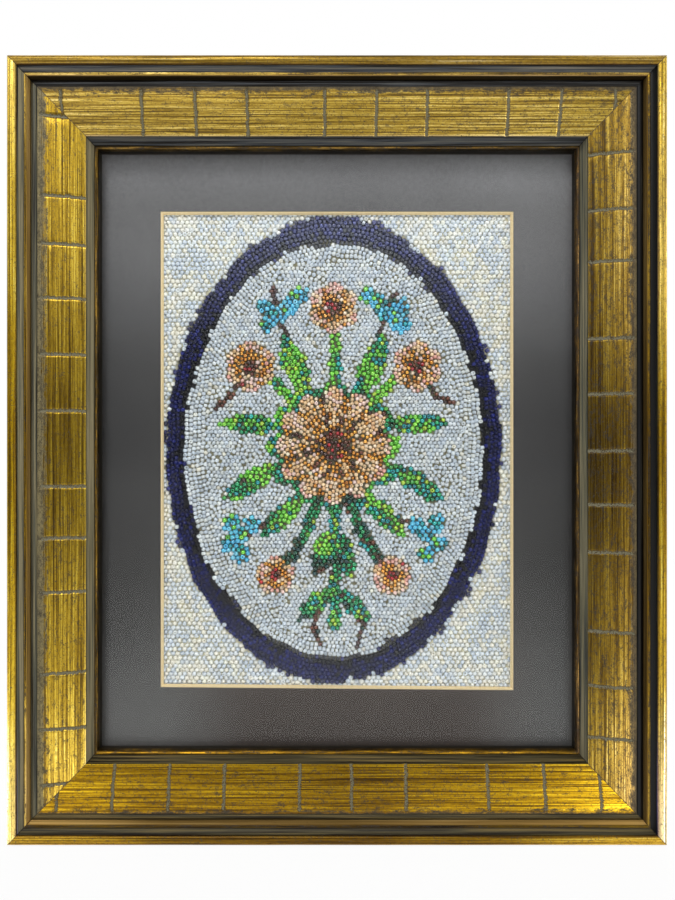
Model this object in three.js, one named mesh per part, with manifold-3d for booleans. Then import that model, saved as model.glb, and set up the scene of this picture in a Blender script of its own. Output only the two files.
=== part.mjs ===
// A framed beadwork picture: a scored gilt frame, glass, a bevelled mat and a field of glued seed beads.
// Millimetres, +Z up, +X to the right, the picture faces -Y and hangs by the notch at the origin.
import * as THREE from 'three';
import { mergeVertices } from 'three/addons/utils/BufferGeometryUtils.js';
import Module from 'manifold-3d';

const wasm = await Module();
wasm.setup();

// Sheet sizes: everything in the rabbet is cut to one standard size
const sheetWidth = 203.2;
const sheetHeight = 254;
const sheetPlay = 1.6;
const glassThickness = 2;
const matThickness = 1.5;
const matPaperThickness = 0.25;
const shimThickness = 2.7;
const beadBoardThickness = 3;
const backingThickness = 2.5;
const backingRecess = 0.6;
const stackGap = 0.1;
const touchGap = 0.05;
const seamGap = 0.3;
const cutOverrun = 1;

// Moulding, from the sight edge outwards
const lipReach = 4.76;
const lipThickness = 4.5;
const lipWidth = 1.5;
const lipCrown = 0.6;
const bandWidth = 1.5;
const bandHollow = 0.5;
const panelWidth = 17.8;
const panelInnerRise = 5;
const panelOuterRise = 8.8;
const panelCrown = 0.4;
const grooveWidth = 3.4;
const grooveFloorRise = 7.4;
const grooveBeadRise = 8.5;
const filletWidth = 1.1;
const filletRise = 11.2;
const coveWidth = 1.9;
const coveFloorRise = 10.6;
const rimWidth = 3.8;
const rimInnerRise = 12.6;
const rimCrownRise = 13.6;
const rimOuterRise = 12.2;
const scoreWidth = 1.2;
const scoreDepth = 0.5;
const mitreGap = 0.3;
const curveSteps = 4;

// Places of the score lines, as shares of each rail's outer length from its middle, left to right or bottom
// to top
const topScoreShares = [-0.426, -0.302, -0.219, -0.139, -0.019, 0.061, 0.14, 0.265, 0.346, 0.43];
const bottomScoreShares = [-0.433, -0.347, -0.261, -0.175, -0.058, 0.023, 0.107, 0.234, 0.322, 0.408];
const leftScoreShares = [
  -0.432, -0.361, -0.289, -0.184, -0.114, -0.047, 0.051, 0.124, 0.197, 0.267, 0.329, 0.432,
];
const rightScoreShares = [-0.374, -0.307, -0.236, -0.133, -0.071, -0.001, 0.073, 0.145, 0.245, 0.312, 0.385];

// Mat window, and the field of beads behind it
const matBorderSide = 26.9;
const matBorderEnd = 26;
const matWindowSkew = 1.3;
const fieldOverlap = 2;
const shimSetback = 1;
const glueThickness = 0.5;
const beadHeight = 2;

// Design in beads
const ovalSideMargin = 3.1;
const ovalEndMargin = 1.8;
const ovalBandWidth = 9.3;
const ovalShift = 1.4;
const ovalWave = 0.45;
const ovalWaves = 24;
const ovalSteps = 96;
const dahliaPetals = 12;
const blossomPetals = 6;
const lowBlossomPetals = 5;
const stepsPerPetal = 4;
const stemSteps = 5;
const sprigSteps = 10;

// The spray of flowers is drawn in shares of its reach, its half height, which is fitted to the oval
const sprayWidthShare = 0.698;
const dahliaRadiusShare = 0.283;
const dahliaRingShare = 0.17;
const dahliaHeartShare = 0.074;
const dahliaCollarShare = 0.04;
const blossomRadiusShare = 0.124;
const lowBlossomRadiusShare = 0.096;
const petalDepthShare = 0.09;
const stemWidthShare = 0.05;
const sprigRadiusShare = 0.041;

// Places in the spray, as shares of its half width and its half height
const dahliaShare = [0, 0.02];
const blossomShares = [[-0.57, 0.4], [0, 0.68], [0.57, 0.4]];
const blossomNames = ['left', 'top', 'right'];
const lowBlossomShares = [[-0.4, -0.6], [0.4, -0.6]];
const lowBlossomNames = ['left', 'right'];
const stemShares = [
  [[0, 0.2], [0.02, 0.45], [0, 0.68]],
  [[-0.25, 0.15], [-0.3, 0.32], [-0.57, 0.4]],
  [[0.25, 0.15], [0.3, 0.32], [0.57, 0.4]],
  [[-0.1, -0.2], [-0.16, -0.42], [-0.4, -0.6]],
  [[0.1, -0.2], [0.16, -0.42], [0.4, -0.6]],
  [[0, -0.2], [0.03, -0.55], [0, -0.86]],
];
// Each leaf on the right half, and its mirror image: root, tip and greatest width as a share of its length
const leafShares = [
  { root: [0.16, 0.24], tip: [0.36, 0.56], widthShare: 0.34 },
  { root: [0.34, 0.12], tip: [0.8, 0.13], widthShare: 0.3 },
  { root: [0.36, -0.06], tip: [0.76, -0.24], widthShare: 0.32 },
  { root: [0.18, -0.2], tip: [0.5, -0.42], widthShare: 0.32 },
  { root: [0, -0.66], tip: [0.26, -0.82], widthShare: 0.34 },
  { root: [0, -0.36], tip: [0.13, -0.62], widthShare: 0.4 },
];
const sprigShares = {
  upper: [[0.24, 0.74], [0.31, 0.69], [0.38, 0.64], [0.46, 0.68], [0.46, 0.6]],
  lower: [[0.56, -0.36], [0.64, -0.41], [0.7, -0.35], [0.71, -0.45], [0.63, -0.5]],
};

// Fasteners and fittings on the back
const nailPlateThickness = 0.5;
const nailLegLength = 5;
const nailHalfAngle = Math.PI / 3;
const nailDepth = 8;
const nailSink = 0.2;
const nailClearance = 0.15;
const nailInnerInset = 8;
const nailOuterInset = 19;
const buttonThickness = 1;
const buttonReach = 14;
const buttonTail = 5;
const buttonTipRadius = 3.2;
const buttonInset = 6;
const buttonLift = 0.2;
const buttonSteps = 6;
const buttonSpacing = 130;
const screwRadius = 1.45;
const screwClearance = 0.15;
const screwLength = 12;
const screwPoint = 3;
const screwHeadRadius = 3;
const screwHeadHeight = 1.7;
const screwSlotWidth = 0.8;
const screwSlotDepth = 0.8;
const screwSteps = 16;
const hangerLength = 45;
const hangerHeight = 9;
const hangerThickness = 0.8;
const hangerStandoff = 1.6;
const hangerTab = 8;
const hangerRamp = 2;
const hangerInset = 14;
const toothPitch = 2.4;
const toothDepth = 1.6;
const toothCount = 9;
const hangerNailRadius = 0.6;
const hangerNailLength = 11;
const hangerNailHeadRadius = 1.5;
const hangerNailHeadHeight = 0.6;
const bumperRadius = 5;
const bumperThickness = 2.4;
const bumperInset = 12;
const bumperSteps = 20;

// Sizes that follow
const railWidth = lipWidth + bandWidth + panelWidth + grooveWidth + filletWidth + coveWidth + rimWidth;
const sightHalfWidth = sheetWidth / 2 + sheetPlay - lipReach;
const sightHalfHeight = sheetHeight / 2 + sheetPlay - lipReach;
const outerHalfWidth = sightHalfWidth + railWidth;
const outerHalfHeight = sightHalfHeight + railWidth;
const nailPlaces = [lipReach + nailInnerInset, lipReach + nailOuterInset];
const backingFront = backingRecess + backingThickness;
const boardBack = backingFront + stackGap;
const boardFront = boardBack + beadBoardThickness;
const shimBack = boardFront + stackGap;
const matBack = shimBack + shimThickness + stackGap;
const paperBack = matBack + matThickness - matPaperThickness;
const glassBack = matBack + matThickness + stackGap;
const rabbetDepth = glassBack + glassThickness + stackGap;
const lipFront = rabbetDepth + lipThickness;
const windowHalfWidth = sheetWidth / 2 - matBorderSide;
const windowHalfHeight = sheetHeight / 2 - matBorderEnd;
const fieldHalfWidth = windowHalfWidth + fieldOverlap;
const fieldHalfHeight = windowHalfHeight + fieldOverlap;
const ovalHalfWidth = windowHalfWidth - ovalSideMargin;
const ovalHalfHeight = windowHalfHeight - ovalEndMargin;
const innerHalfWidth = ovalHalfWidth - ovalBandWidth;
const innerHalfHeight = ovalHalfHeight - ovalBandWidth;
const sprayReach = Math.min(innerHalfHeight, innerHalfWidth / sprayWidthShare);
const hangerZ = outerHalfHeight - hangerInset;
const notchZ = hangerZ + toothDepth;
const notchY = touchGap + hangerStandoff + hangerThickness / 2;

const quarterTurn = Math.PI / 2;
const picture = new THREE.Group();
picture.position.set(0, -notchY, -notchZ);

function finish(color, roughness, metalness) {
  return new THREE.MeshStandardMaterial({ color, roughness, metalness });
}

const gilt = finish('#8c6a1d', 0.45, 0.7);
const steel = finish('#b9bcbf', 0.35, 0.9);
const zinc = finish('#c4c2b4', 0.4, 0.85);
const brassFinish = finish('#b8974c', 0.35, 0.9);
const clearGlass = new THREE.MeshStandardMaterial({
  color: '#eef4f2', roughness: 0.02, metalness: 0, transparent: true, opacity: 0.2,
});
const charcoalPaper = finish('#4a4a4a', 0.9, 0);
const creamCore = finish('#e3cc9c', 0.9, 0);
const foamShim = finish('#e6e3da', 0.9, 0);
const hardboard = finish('#7a5536', 0.85, 0);
const glue = finish('#8d8462', 0.5, 0);
const rubberFinish = finish('#33302c', 0.9, 0);

function add(name, geometry, material) {
  const mesh = new THREE.Mesh(geometry, material);
  mesh.name = name;
  picture.add(mesh);
  return mesh;
}

// Booleans on closed meshes
function solid(geometry) {
  const bare = geometry.clone();
  bare.deleteAttribute('normal');
  bare.deleteAttribute('uv');
  const merged = mergeVertices(bare);
  return new wasm.Manifold(new wasm.Mesh({
    numProp: 3,
    vertProperties: new Float32Array(merged.attributes.position.array),
    triVerts: new Uint32Array(merged.index.array),
  }));
}

function geometryOf(body) {
  const mesh = body.getMesh();
  const geometry = new THREE.BufferGeometry();
  geometry.setAttribute('position', new THREE.BufferAttribute(new Float32Array(mesh.vertProperties), 3));
  geometry.setIndex(new THREE.BufferAttribute(new Uint32Array(mesh.triVerts), 1));
  geometry.computeVertexNormals();
  return geometry;
}

function joined(geometries) {
  return geometries.map(solid).reduce((sum, body) => sum.add(body));
}

function without(geometry, cutters) {
  return geometryOf(cutters.reduce((body, cutter) => body.subtract(solid(cutter)), solid(geometry)));
}

// A flat piece: an outline in X and Z, from its back face forwards
function slab(shape, back, thickness, segments = curveSteps) {
  const geometry = new THREE.ExtrudeGeometry(shape, {
    depth: thickness, bevelEnabled: false, curveSegments: segments,
  });
  geometry.rotateX(quarterTurn);
  geometry.translate(0, -back, 0);
  return geometry;
}

function rectangle(left, right, bottom, top) {
  const shape = new THREE.Shape();
  shape.moveTo(left, bottom);
  shape.lineTo(right, bottom);
  shape.lineTo(right, top);
  shape.lineTo(left, top);
  shape.closePath();
  return shape;
}

function outline(points) {
  return new THREE.Shape(points.map(([x, z]) => new THREE.Vector2(x, z)));
}

// A turned piece on an axis along Y: radius and distance behind the rail's back
function turned(profile, steps) {
  return new THREE.LatheGeometry(profile.map(([radius, y]) => new THREE.Vector2(radius, y)), steps);
}

// A round cutter into the back of the rail
function drill(x, z, radius, depth) {
  const profile = [[0, -depth], [radius, -depth], [radius, cutOverrun], [0, cutOverrun]];
  const geometry = turned(profile, screwSteps);
  geometry.translate(x, 0, z);
  return geometry;
}

// Moulding: distance outwards from the sight edge, and distance forwards from the back
function mouldingShape() {
  const bandStart = lipWidth;
  const panelStart = bandStart + bandWidth;
  const grooveStart = panelStart + panelWidth;
  const filletStart = grooveStart + grooveWidth;
  const coveStart = filletStart + filletWidth;
  const rimStart = coveStart + coveWidth;
  const grooveMiddle = grooveStart + grooveWidth / 2;
  const shape = new THREE.Shape();
  shape.moveTo(0, rabbetDepth);
  shape.lineTo(lipReach, rabbetDepth);
  shape.lineTo(lipReach, 0);
  shape.lineTo(railWidth, 0);
  shape.lineTo(railWidth, lipFront + rimOuterRise);
  shape.quadraticCurveTo(
    railWidth - rimWidth / 4, lipFront + rimCrownRise, railWidth - rimWidth / 2, lipFront + rimCrownRise);
  shape.quadraticCurveTo(
    rimStart, lipFront + rimCrownRise, rimStart, lipFront + rimInnerRise);
  shape.quadraticCurveTo(
    coveStart + coveWidth / 2, lipFront + coveFloorRise, coveStart, lipFront + coveFloorRise);
  shape.lineTo(coveStart, lipFront + filletRise);
  shape.lineTo(filletStart, lipFront + filletRise);
  shape.lineTo(filletStart, lipFront + grooveFloorRise);
  shape.quadraticCurveTo(
    grooveMiddle, 2 * (lipFront + grooveBeadRise) - lipFront - grooveFloorRise,
    grooveStart, lipFront + grooveFloorRise);
  shape.lineTo(grooveStart, lipFront + panelOuterRise);
  shape.quadraticCurveTo(
    panelStart + panelWidth / 2, lipFront + (panelInnerRise + panelOuterRise) / 2 + 2 * panelCrown,
    panelStart, lipFront + panelInnerRise);
  shape.quadraticCurveTo(
    bandStart + bandWidth / 2 + bandHollow, lipFront + panelInnerRise / 2, bandStart, lipFront);
  shape.quadraticCurveTo(lipWidth / 2, lipFront + 2 * lipCrown, 0, lipFront - lipCrown);
  shape.closePath();
  return shape;
}

// A rail along X above the picture, its ends cut on the mitre
function railBlank(halfLength, halfAcross) {
  const geometry = new THREE.ExtrudeGeometry(mouldingShape(), {
    depth: 1, bevelEnabled: false, curveSegments: curveSteps,
  });
  const place = geometry.attributes.position;
  const endBack = mitreGap / Math.SQRT2;
  for (let i = 0; i < place.count; i += 1) {
    const end = 2 * place.getZ(i) - 1;
    place.setZ(i, end * (halfLength + place.getX(i) - endBack));
  }
  geometry.applyMatrix4(new THREE.Matrix4().makeBasis(
    new THREE.Vector3(0, 0, 1), new THREE.Vector3(0, -1, 0), new THREE.Vector3(1, 0, 0)));
  geometry.translate(0, 0, halfAcross);
  return geometry;
}

// A shallow cut across the panel, from the inner band to the groove
function scoreCutter(x, halfAcross) {
  const inner = lipWidth + bandWidth;
  const outer = inner + panelWidth;
  const shape = new THREE.Shape();
  shape.moveTo(inner, lipFront + panelInnerRise - scoreDepth);
  shape.quadraticCurveTo(
    inner + panelWidth / 2, lipFront + (panelInnerRise + panelOuterRise) / 2 + 2 * panelCrown - scoreDepth,
    outer, lipFront + panelOuterRise - scoreDepth);
  shape.lineTo(outer, lipFront + panelOuterRise + cutOverrun);
  shape.lineTo(inner - scoreDepth, lipFront + panelOuterRise + cutOverrun);
  shape.lineTo(inner - scoreDepth, lipFront + panelInnerRise - scoreDepth);
  shape.closePath();
  const geometry = new THREE.ExtrudeGeometry(shape, {
    depth: scoreWidth, bevelEnabled: false, curveSegments: curveSteps,
  });
  geometry.applyMatrix4(new THREE.Matrix4().makeBasis(
    new THREE.Vector3(0, 0, 1), new THREE.Vector3(0, -1, 0), new THREE.Vector3(1, 0, 0)));
  geometry.translate(x - scoreWidth / 2, 0, halfAcross);
  return geometry;
}

// A bent strip driven across the mitre, its bend towards the frame's outside
function cornerNail(x, z, side, clearance) {
  const thickness = nailPlateThickness / 2 + clearance;
  const leg = nailLegLength + clearance;
  const across = [Math.sin(nailHalfAngle), Math.cos(nailHalfAngle)];
  const tip = thickness / across[0];
  const end = [-leg * across[1], leg * across[0]];
  const lean = [thickness * across[0], thickness * across[1]];
  const points = [
    [tip, 0],
    [end[0] + lean[0], end[1] + lean[1]],
    [end[0] - lean[0], end[1] - lean[1]],
    [-tip, 0],
    [end[0] - lean[0], lean[1] - end[1]],
    [end[0] + lean[0], -end[1] - lean[1]],
  ];
  const angle = side > 0 ? Math.PI / 4 : 3 * Math.PI / 4;
  const turnedPoints = points.map(([along, sideways]) => [
    x + along * Math.cos(angle) - sideways * Math.sin(angle),
    z + along * Math.sin(angle) + sideways * Math.cos(angle),
  ]);
  const back = clearance > 0 ? -cutOverrun : nailSink;
  const front = nailSink + nailDepth + clearance;
  return slab(outline(turnedPoints), back, front - back);
}

// Frame: four rails, told apart by their turn about Y
const buttonPlaces = {
  top: [-buttonSpacing / 2, buttonSpacing / 2],
  bottom: [-buttonSpacing / 2, buttonSpacing / 2],
  left: [0],
  right: [0],
};
const rails = [
  { side: 'top', turn: 0, halfLength: sightHalfWidth, halfAcross: sightHalfHeight, way: 1,
    shares: topScoreShares },
  { side: 'bottom', turn: Math.PI, halfLength: sightHalfWidth, halfAcross: sightHalfHeight, way: -1,
    shares: bottomScoreShares },
  { side: 'left', turn: -quarterTurn, halfLength: sightHalfHeight, halfAcross: sightHalfWidth, way: 1,
    shares: leftScoreShares },
  { side: 'right', turn: quarterTurn, halfLength: sightHalfHeight, halfAcross: sightHalfWidth, way: -1,
    shares: rightScoreShares },
];

function nailSlots(rail) {
  return nailPlaces.flatMap((place) => [-1, 1].map((side) => cornerNail(
    side * (rail.halfLength + place), rail.halfAcross + place, side, nailClearance)));
}

const hangerNailX = (hangerLength - hangerTab) / 2;
const hangerMiddleZ = hangerZ + hangerHeight / 2;

for (const rail of rails) {
  const outerLength = 2 * (rail.halfLength + railWidth);
  const scores = rail.shares.map((share) => scoreCutter(rail.way * share * outerLength, rail.halfAcross));
  const pivotZ = rail.halfAcross + lipReach + buttonInset;
  const holes = buttonPlaces[rail.side].map((x) => drill(
    x, pivotZ, screwRadius + screwClearance, screwLength + screwClearance));
  const hangerHoles = rail.side === 'top' ? [-hangerNailX, hangerNailX].map((x) => drill(
    x, hangerMiddleZ, hangerNailRadius + screwClearance, hangerNailLength + screwClearance)) : [];
  const body = without(
    railBlank(rail.halfLength, rail.halfAcross), [...scores, ...nailSlots(rail), ...holes, ...hangerHoles]);
  add(`rail_${rail.side}`, body, gilt).rotation.y = rail.turn;
}

// Bent nails at the corners
const corners = [
  { name: 'top_right', turn: 0 },
  { name: 'bottom_right', turn: 1 },
  { name: 'bottom_left', turn: 2 },
  { name: 'top_left', turn: 3 },
];
for (const corner of corners) {
  const swapped = corner.turn % 2 === 1;
  const halfLength = swapped ? sightHalfHeight : sightHalfWidth;
  const halfAcross = swapped ? sightHalfWidth : sightHalfHeight;
  nailPlaces.forEach((place, index) => {
    const nail = cornerNail(halfLength + place, halfAcross + place, 1, 0);
    add(`corner_nail_${corner.name}_${index + 1}`, nail, steel).rotation.y = corner.turn * quarterTurn;
  });
}

// Glass, mat, shims, board and backing, from the front
function sheet(halfWidth, halfHeight) {
  return rectangle(-halfWidth, halfWidth, -halfHeight, halfHeight);
}

const sheetShape = sheet(sheetWidth / 2, sheetHeight / 2);
add('glass', slab(sheetShape, glassBack, glassThickness), clearGlass);

// A sheet with the window cut at 45 degrees: the opening grows by the bevel towards the front
function windowedSheet(back, thickness) {
  const grow = [back - matBack, back - matBack + thickness].map((depth) => depth - matThickness);
  const cutter = slab(rectangle(-1, 1, -1, 1), back, thickness);
  const place = cutter.attributes.position;
  for (let i = 0; i < place.count; i += 1) {
    const front = place.getY(i) < -back - thickness / 2;
    const extra = front ? grow[1] : grow[0];
    const right = place.getX(i) > 0;
    const bottom = place.getZ(i) < 0;
    const skew = bottom ? matWindowSkew / 2 * (right ? 1 : -1) : 0;
    const y = front ? -back - thickness - cutOverrun : -back + cutOverrun;
    place.setXYZ(
      i, place.getX(i) * (windowHalfWidth + extra), y, place.getZ(i) * (windowHalfHeight + skew + extra));
  }
  return without(slab(sheetShape, back, thickness), [cutter]);
}

add('mat_core', windowedSheet(matBack, matThickness - matPaperThickness - touchGap), creamCore);
add('mat_face_paper', windowedSheet(paperBack, matPaperThickness), charcoalPaper);

const shimInnerX = fieldHalfWidth + shimSetback;
const shimInnerZ = fieldHalfHeight + shimSetback;
const shims = {
  top: rectangle(-sheetWidth / 2, sheetWidth / 2, shimInnerZ, sheetHeight / 2),
  bottom: rectangle(-sheetWidth / 2, sheetWidth / 2, -sheetHeight / 2, -shimInnerZ),
  left: rectangle(-sheetWidth / 2, -shimInnerX, seamGap - shimInnerZ, shimInnerZ - seamGap),
  right: rectangle(shimInnerX, sheetWidth / 2, seamGap - shimInnerZ, shimInnerZ - seamGap),
};
for (const [side, shape] of Object.entries(shims)) {
  add(`shim_${side}`, slab(shape, shimBack, shimThickness), foamShim);
}
add('bead_board', slab(sheetShape, boardBack, beadBoardThickness), hardboard);
const glueBack = boardFront + touchGap;
add('glue_bed', slab(sheet(fieldHalfWidth, fieldHalfHeight), glueBack, glueThickness), glue);
add('backing_board', slab(sheetShape, backingRecess, backingThickness), hardboard);

// Bead fields: each is the slab that its beads fill, cut by the fields that lie over it
const beadBack = glueBack + glueThickness + touchGap;

function ovalOutline(inset) {
  const points = [];
  for (let i = 0; i < ovalSteps; i += 1) {
    const angle = 2 * Math.PI * i / ovalSteps;
    const wave = ovalWave * Math.sin(ovalWaves * angle) - inset;
    points.push([
      (ovalHalfWidth + wave) * Math.cos(angle) - ovalShift,
      (ovalHalfHeight + wave) * Math.sin(angle),
    ]);
  }
  return outline(points);
}

function placed(share) {
  return [share[0] * sprayWidthShare * sprayReach - ovalShift, share[1] * sprayReach];
}

function rosette(share, radiusShare, petals, grow) {
  const [x, z] = placed(share);
  const points = [];
  const steps = petals * stepsPerPetal;
  for (let i = 0; i < steps; i += 1) {
    const angle = 2 * Math.PI * i / steps;
    const dip = 2 * petalDepthShare * (1 - Math.abs(Math.cos(petals * angle / 2)));
    const reach = radiusShare * sprayReach * (1 - dip) + grow;
    points.push([x + reach * Math.sin(angle), z + reach * Math.cos(angle)]);
  }
  return outline(points);
}

function ribbon(shares, halfWidth) {
  const [start, bend, end] = shares.map((share) => new THREE.Vector2(...placed(share)));
  const curve = new THREE.QuadraticBezierCurve(start, bend, end);
  const left = [];
  const right = [];
  for (let i = 0; i <= stemSteps; i += 1) {
    const point = curve.getPoint(i / stemSteps);
    const tangent = curve.getTangent(i / stemSteps);
    left.push([point.x - tangent.y * halfWidth, point.y + tangent.x * halfWidth]);
    right.unshift([point.x + tangent.y * halfWidth, point.y - tangent.x * halfWidth]);
  }
  return outline([...left, ...right]);
}

function leaf(rootShare, tipShare, widthShare, grow) {
  const root = new THREE.Vector2(...placed(rootShare));
  const tip = new THREE.Vector2(...placed(tipShare));
  const along = tip.clone().sub(root);
  const length = along.length();
  along.normalize();
  const across = new THREE.Vector2(-along.y, along.x);
  const middle = root.clone().add(tip).multiplyScalar(1 / 2);
  const belly = widthShare * length + grow;
  root.addScaledVector(along, -grow);
  tip.addScaledVector(along, grow);
  const shape = new THREE.Shape();
  shape.moveTo(root.x, root.y);
  shape.quadraticCurveTo(middle.x - across.x * belly, middle.y - across.y * belly, tip.x, tip.y);
  shape.quadraticCurveTo(middle.x + across.x * belly, middle.y + across.y * belly, root.x, root.y);
  return shape;
}

function mirrored([x, z]) {
  return [-x, z];
}

function disc([x, z], radius) {
  const shape = new THREE.Shape();
  shape.absarc(x, z, radius, 0, 2 * Math.PI);
  return shape;
}

function beadSlab(shape, grow) {
  const overrun = grow > 0 ? cutOverrun : 0;
  return slab(shape, beadBack - overrun, beadHeight + 2 * overrun, sprigSteps / 2);
}

function foliage(grow) {
  const pieces = [rosette(dahliaShare, dahliaRadiusShare + dahliaCollarShare, dahliaPetals, grow)];
  pieces.push(...stemShares.map((shares) => ribbon(shares, stemWidthShare / 2 * sprayReach + grow)));
  for (const { root, tip, widthShare } of leafShares) {
    pieces.push(leaf(root, tip, widthShare, grow), leaf(mirrored(root), mirrored(tip), widthShare, grow));
  }
  return joined(pieces.map((shape) => beadSlab(shape, grow)));
}

function sprig(places, grow) {
  const radius = sprigRadiusShare * sprayReach + grow;
  return joined(places.map((share) => beadSlab(disc(placed(share), radius), grow)));
}

// Fields from the top of the pile down: a field is cut by every field above it
const sprigs = Object.entries(sprigShares).flatMap(([name, places]) => [
  { name: `beads_sprig_${name}_left`, color: '#4fb3d9', make: (grow) => sprig(places.map(mirrored), grow) },
  { name: `beads_sprig_${name}_right`, color: '#4fb3d9', make: (grow) => sprig(places, grow) },
]);
const rosettes = [
  { name: 'beads_dahlia_heart', color: '#5a2f1c', share: dahliaShare, radiusShare: dahliaHeartShare,
    petals: dahliaPetals },
  { name: 'beads_dahlia_ring', color: '#c98f3f', share: dahliaShare, radiusShare: dahliaRingShare,
    petals: dahliaPetals },
  { name: 'beads_dahlia_petals', color: '#ecc9a0', share: dahliaShare, radiusShare: dahliaRadiusShare,
    petals: dahliaPetals },
  ...blossomShares.map((share, index) => ({
    name: `beads_blossom_${blossomNames[index]}`, color: '#e6b48a', share, radiusShare: blossomRadiusShare,
    petals: blossomPetals })),
  ...lowBlossomShares.map((share, index) => ({
    name: `beads_blossom_low_${lowBlossomNames[index]}`, color: '#e2a9a0', share,
    radiusShare: lowBlossomRadiusShare,
    petals: lowBlossomPetals })),
].map(({ name, color, share, radiusShare, petals }) => ({
  name, color, make: (grow) => solid(beadSlab(rosette(share, radiusShare, petals, grow), grow)),
}));
const beadFields = [
  ...rosettes,
  { name: 'beads_foliage', color: '#2f6b3a', make: foliage },
  ...sprigs,
  { name: 'beads_oval_ground', color: '#d3dbe6',
    make: (grow) => solid(beadSlab(ovalOutline(ovalBandWidth - grow), grow)) },
  { name: 'beads_oval_band', color: '#1c1d5a', make: (grow) => solid(beadSlab(ovalOutline(-grow), grow)) },
  { name: 'beads_corner_ground', color: '#dfe2df',
    make: (grow) => solid(beadSlab(sheet(fieldHalfWidth + grow, fieldHalfHeight + grow), grow)) },
];

let pile = null;
for (const field of beadFields) {
  const body = field.make(0);
  add(field.name, geometryOf(pile ? body.subtract(pile) : body), finish(field.color, 0.25, 0));
  const grown = field.make(seamGap);
  pile = pile ? pile.add(grown) : grown;
}

// Turn buttons: a tapered tongue on a screw, its tip over the backing
function buttonShape() {
  const shape = new THREE.Shape();
  const lean = Math.asin((buttonTail - buttonTipRadius) / (buttonReach - buttonTipRadius));
  const tipCentre = buttonTipRadius - buttonReach;
  shape.absarc(0, 0, buttonTail, -lean, Math.PI + lean);
  shape.absarc(0, tipCentre, buttonTipRadius, Math.PI + lean, 2 * Math.PI - lean);
  shape.closePath();
  const hole = new THREE.Path();
  hole.absarc(0, 0, screwRadius + screwClearance, 0, 2 * Math.PI);
  shape.holes.push(hole);
  return shape;
}

const headBack = buttonLift + buttonThickness + touchGap;
const screwProfile = [
  [0, -screwLength], [screwRadius, screwPoint - screwLength], [screwRadius, headBack],
  [screwHeadRadius, headBack], [screwHeadRadius, headBack + screwHeadHeight / 2],
  [screwHeadRadius / 2, headBack + screwHeadHeight], [0, headBack + screwHeadHeight],
];
const slotCutter = new THREE.BoxGeometry(
  2 * screwHeadRadius + cutOverrun, 2 * screwSlotDepth, screwSlotWidth);
slotCutter.translate(0, headBack + screwHeadHeight, 0);
const screwBody = without(turned(screwProfile, screwSteps), [slotCutter]);

let buttonNumber = 0;
for (const rail of rails) {
  for (const x of buttonPlaces[rail.side]) {
    buttonNumber += 1;
    const corner = new THREE.Group();
    corner.rotation.y = rail.turn;
    picture.add(corner);
    const seat = new THREE.Group();
    seat.position.set(x, 0, rail.halfAcross + lipReach + buttonInset);
    corner.add(seat);
    const tongue = slab(buttonShape(), -buttonLift - buttonThickness, buttonThickness, buttonSteps);
    seat.add(add(`turn_button_${buttonNumber}`, tongue, brassFinish));
    seat.add(add(`button_screw_${buttonNumber}`, screwBody, steel));
  }
}

// Toothed hanger: a strip with its middle raised off the rail, and teeth along its lower edge
function hangerShape() {
  const half = hangerLength / 2;
  const foot = half - hangerTab;
  const shoulder = foot - hangerRamp;
  const low = touchGap;
  const high = low + hangerStandoff;
  return outline([
    [-half, low], [-foot, low], [-shoulder, high], [shoulder, high], [foot, low], [half, low],
    [half, low + hangerThickness], [foot, low + hangerThickness], [shoulder, high + hangerThickness],
    [-shoulder, high + hangerThickness], [-foot, low + hangerThickness], [-half, low + hangerThickness],
  ]);
}

function toothCutter(index) {
  const x = (index - (toothCount - 1) / 2) * toothPitch;
  const base = toothPitch / 2 * (1 + cutOverrun / toothDepth);
  const shape = outline([
    [x - base, hangerZ - cutOverrun], [x + base, hangerZ - cutOverrun], [x, hangerZ + toothDepth]]);
  return slab(shape, -notchY - cutOverrun, 2 * cutOverrun);
}

const hangerStrip = new THREE.ExtrudeGeometry(hangerShape(), { depth: hangerHeight, bevelEnabled: false });
hangerStrip.translate(0, 0, hangerZ);
const nailHoles = [-hangerNailX, hangerNailX].map(
  (x) => drill(x, hangerMiddleZ, hangerNailRadius + screwClearance, 0));
const teeth = Array.from({ length: toothCount }, (unused, index) => toothCutter(index));
add('hanger', without(hangerStrip, [...teeth, ...nailHoles]), zinc);

const nailHeadBack = hangerThickness + 2 * touchGap;
const hangerNailProfile = [
  [0, -hangerNailLength], [hangerNailRadius, hangerNailRadius - hangerNailLength],
  [hangerNailRadius, nailHeadBack], [hangerNailHeadRadius, nailHeadBack],
  [hangerNailHeadRadius, nailHeadBack + hangerNailHeadHeight], [0, nailHeadBack + hangerNailHeadHeight],
];
for (const [side, way] of [['left', -1], ['right', 1]]) {
  const nail = add(`hanger_nail_${side}`, turned(hangerNailProfile, screwSteps), steel);
  nail.position.set(way * hangerNailX, 0, hangerMiddleZ);
  const bumperProfile = [
    [0, touchGap], [bumperRadius, touchGap], [bumperRadius, bumperThickness / 2],
    [bumperRadius - bumperThickness / 2, bumperThickness + touchGap], [0, bumperThickness + touchGap],
  ];
  const bumper = add(`bumper_${side}`, turned(bumperProfile, bumperSteps), rubberFinish);
  bumper.position.set(way * (outerHalfWidth - bumperInset), 0, bumperInset - outerHalfHeight);
}

export default picture;
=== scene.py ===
import math
import random
from functools import partial

import bmesh
import bpy
import numpy as np
from mathutils import Matrix, Vector, kdtree, noise
from mathutils.bvhtree import BVHTree


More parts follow.
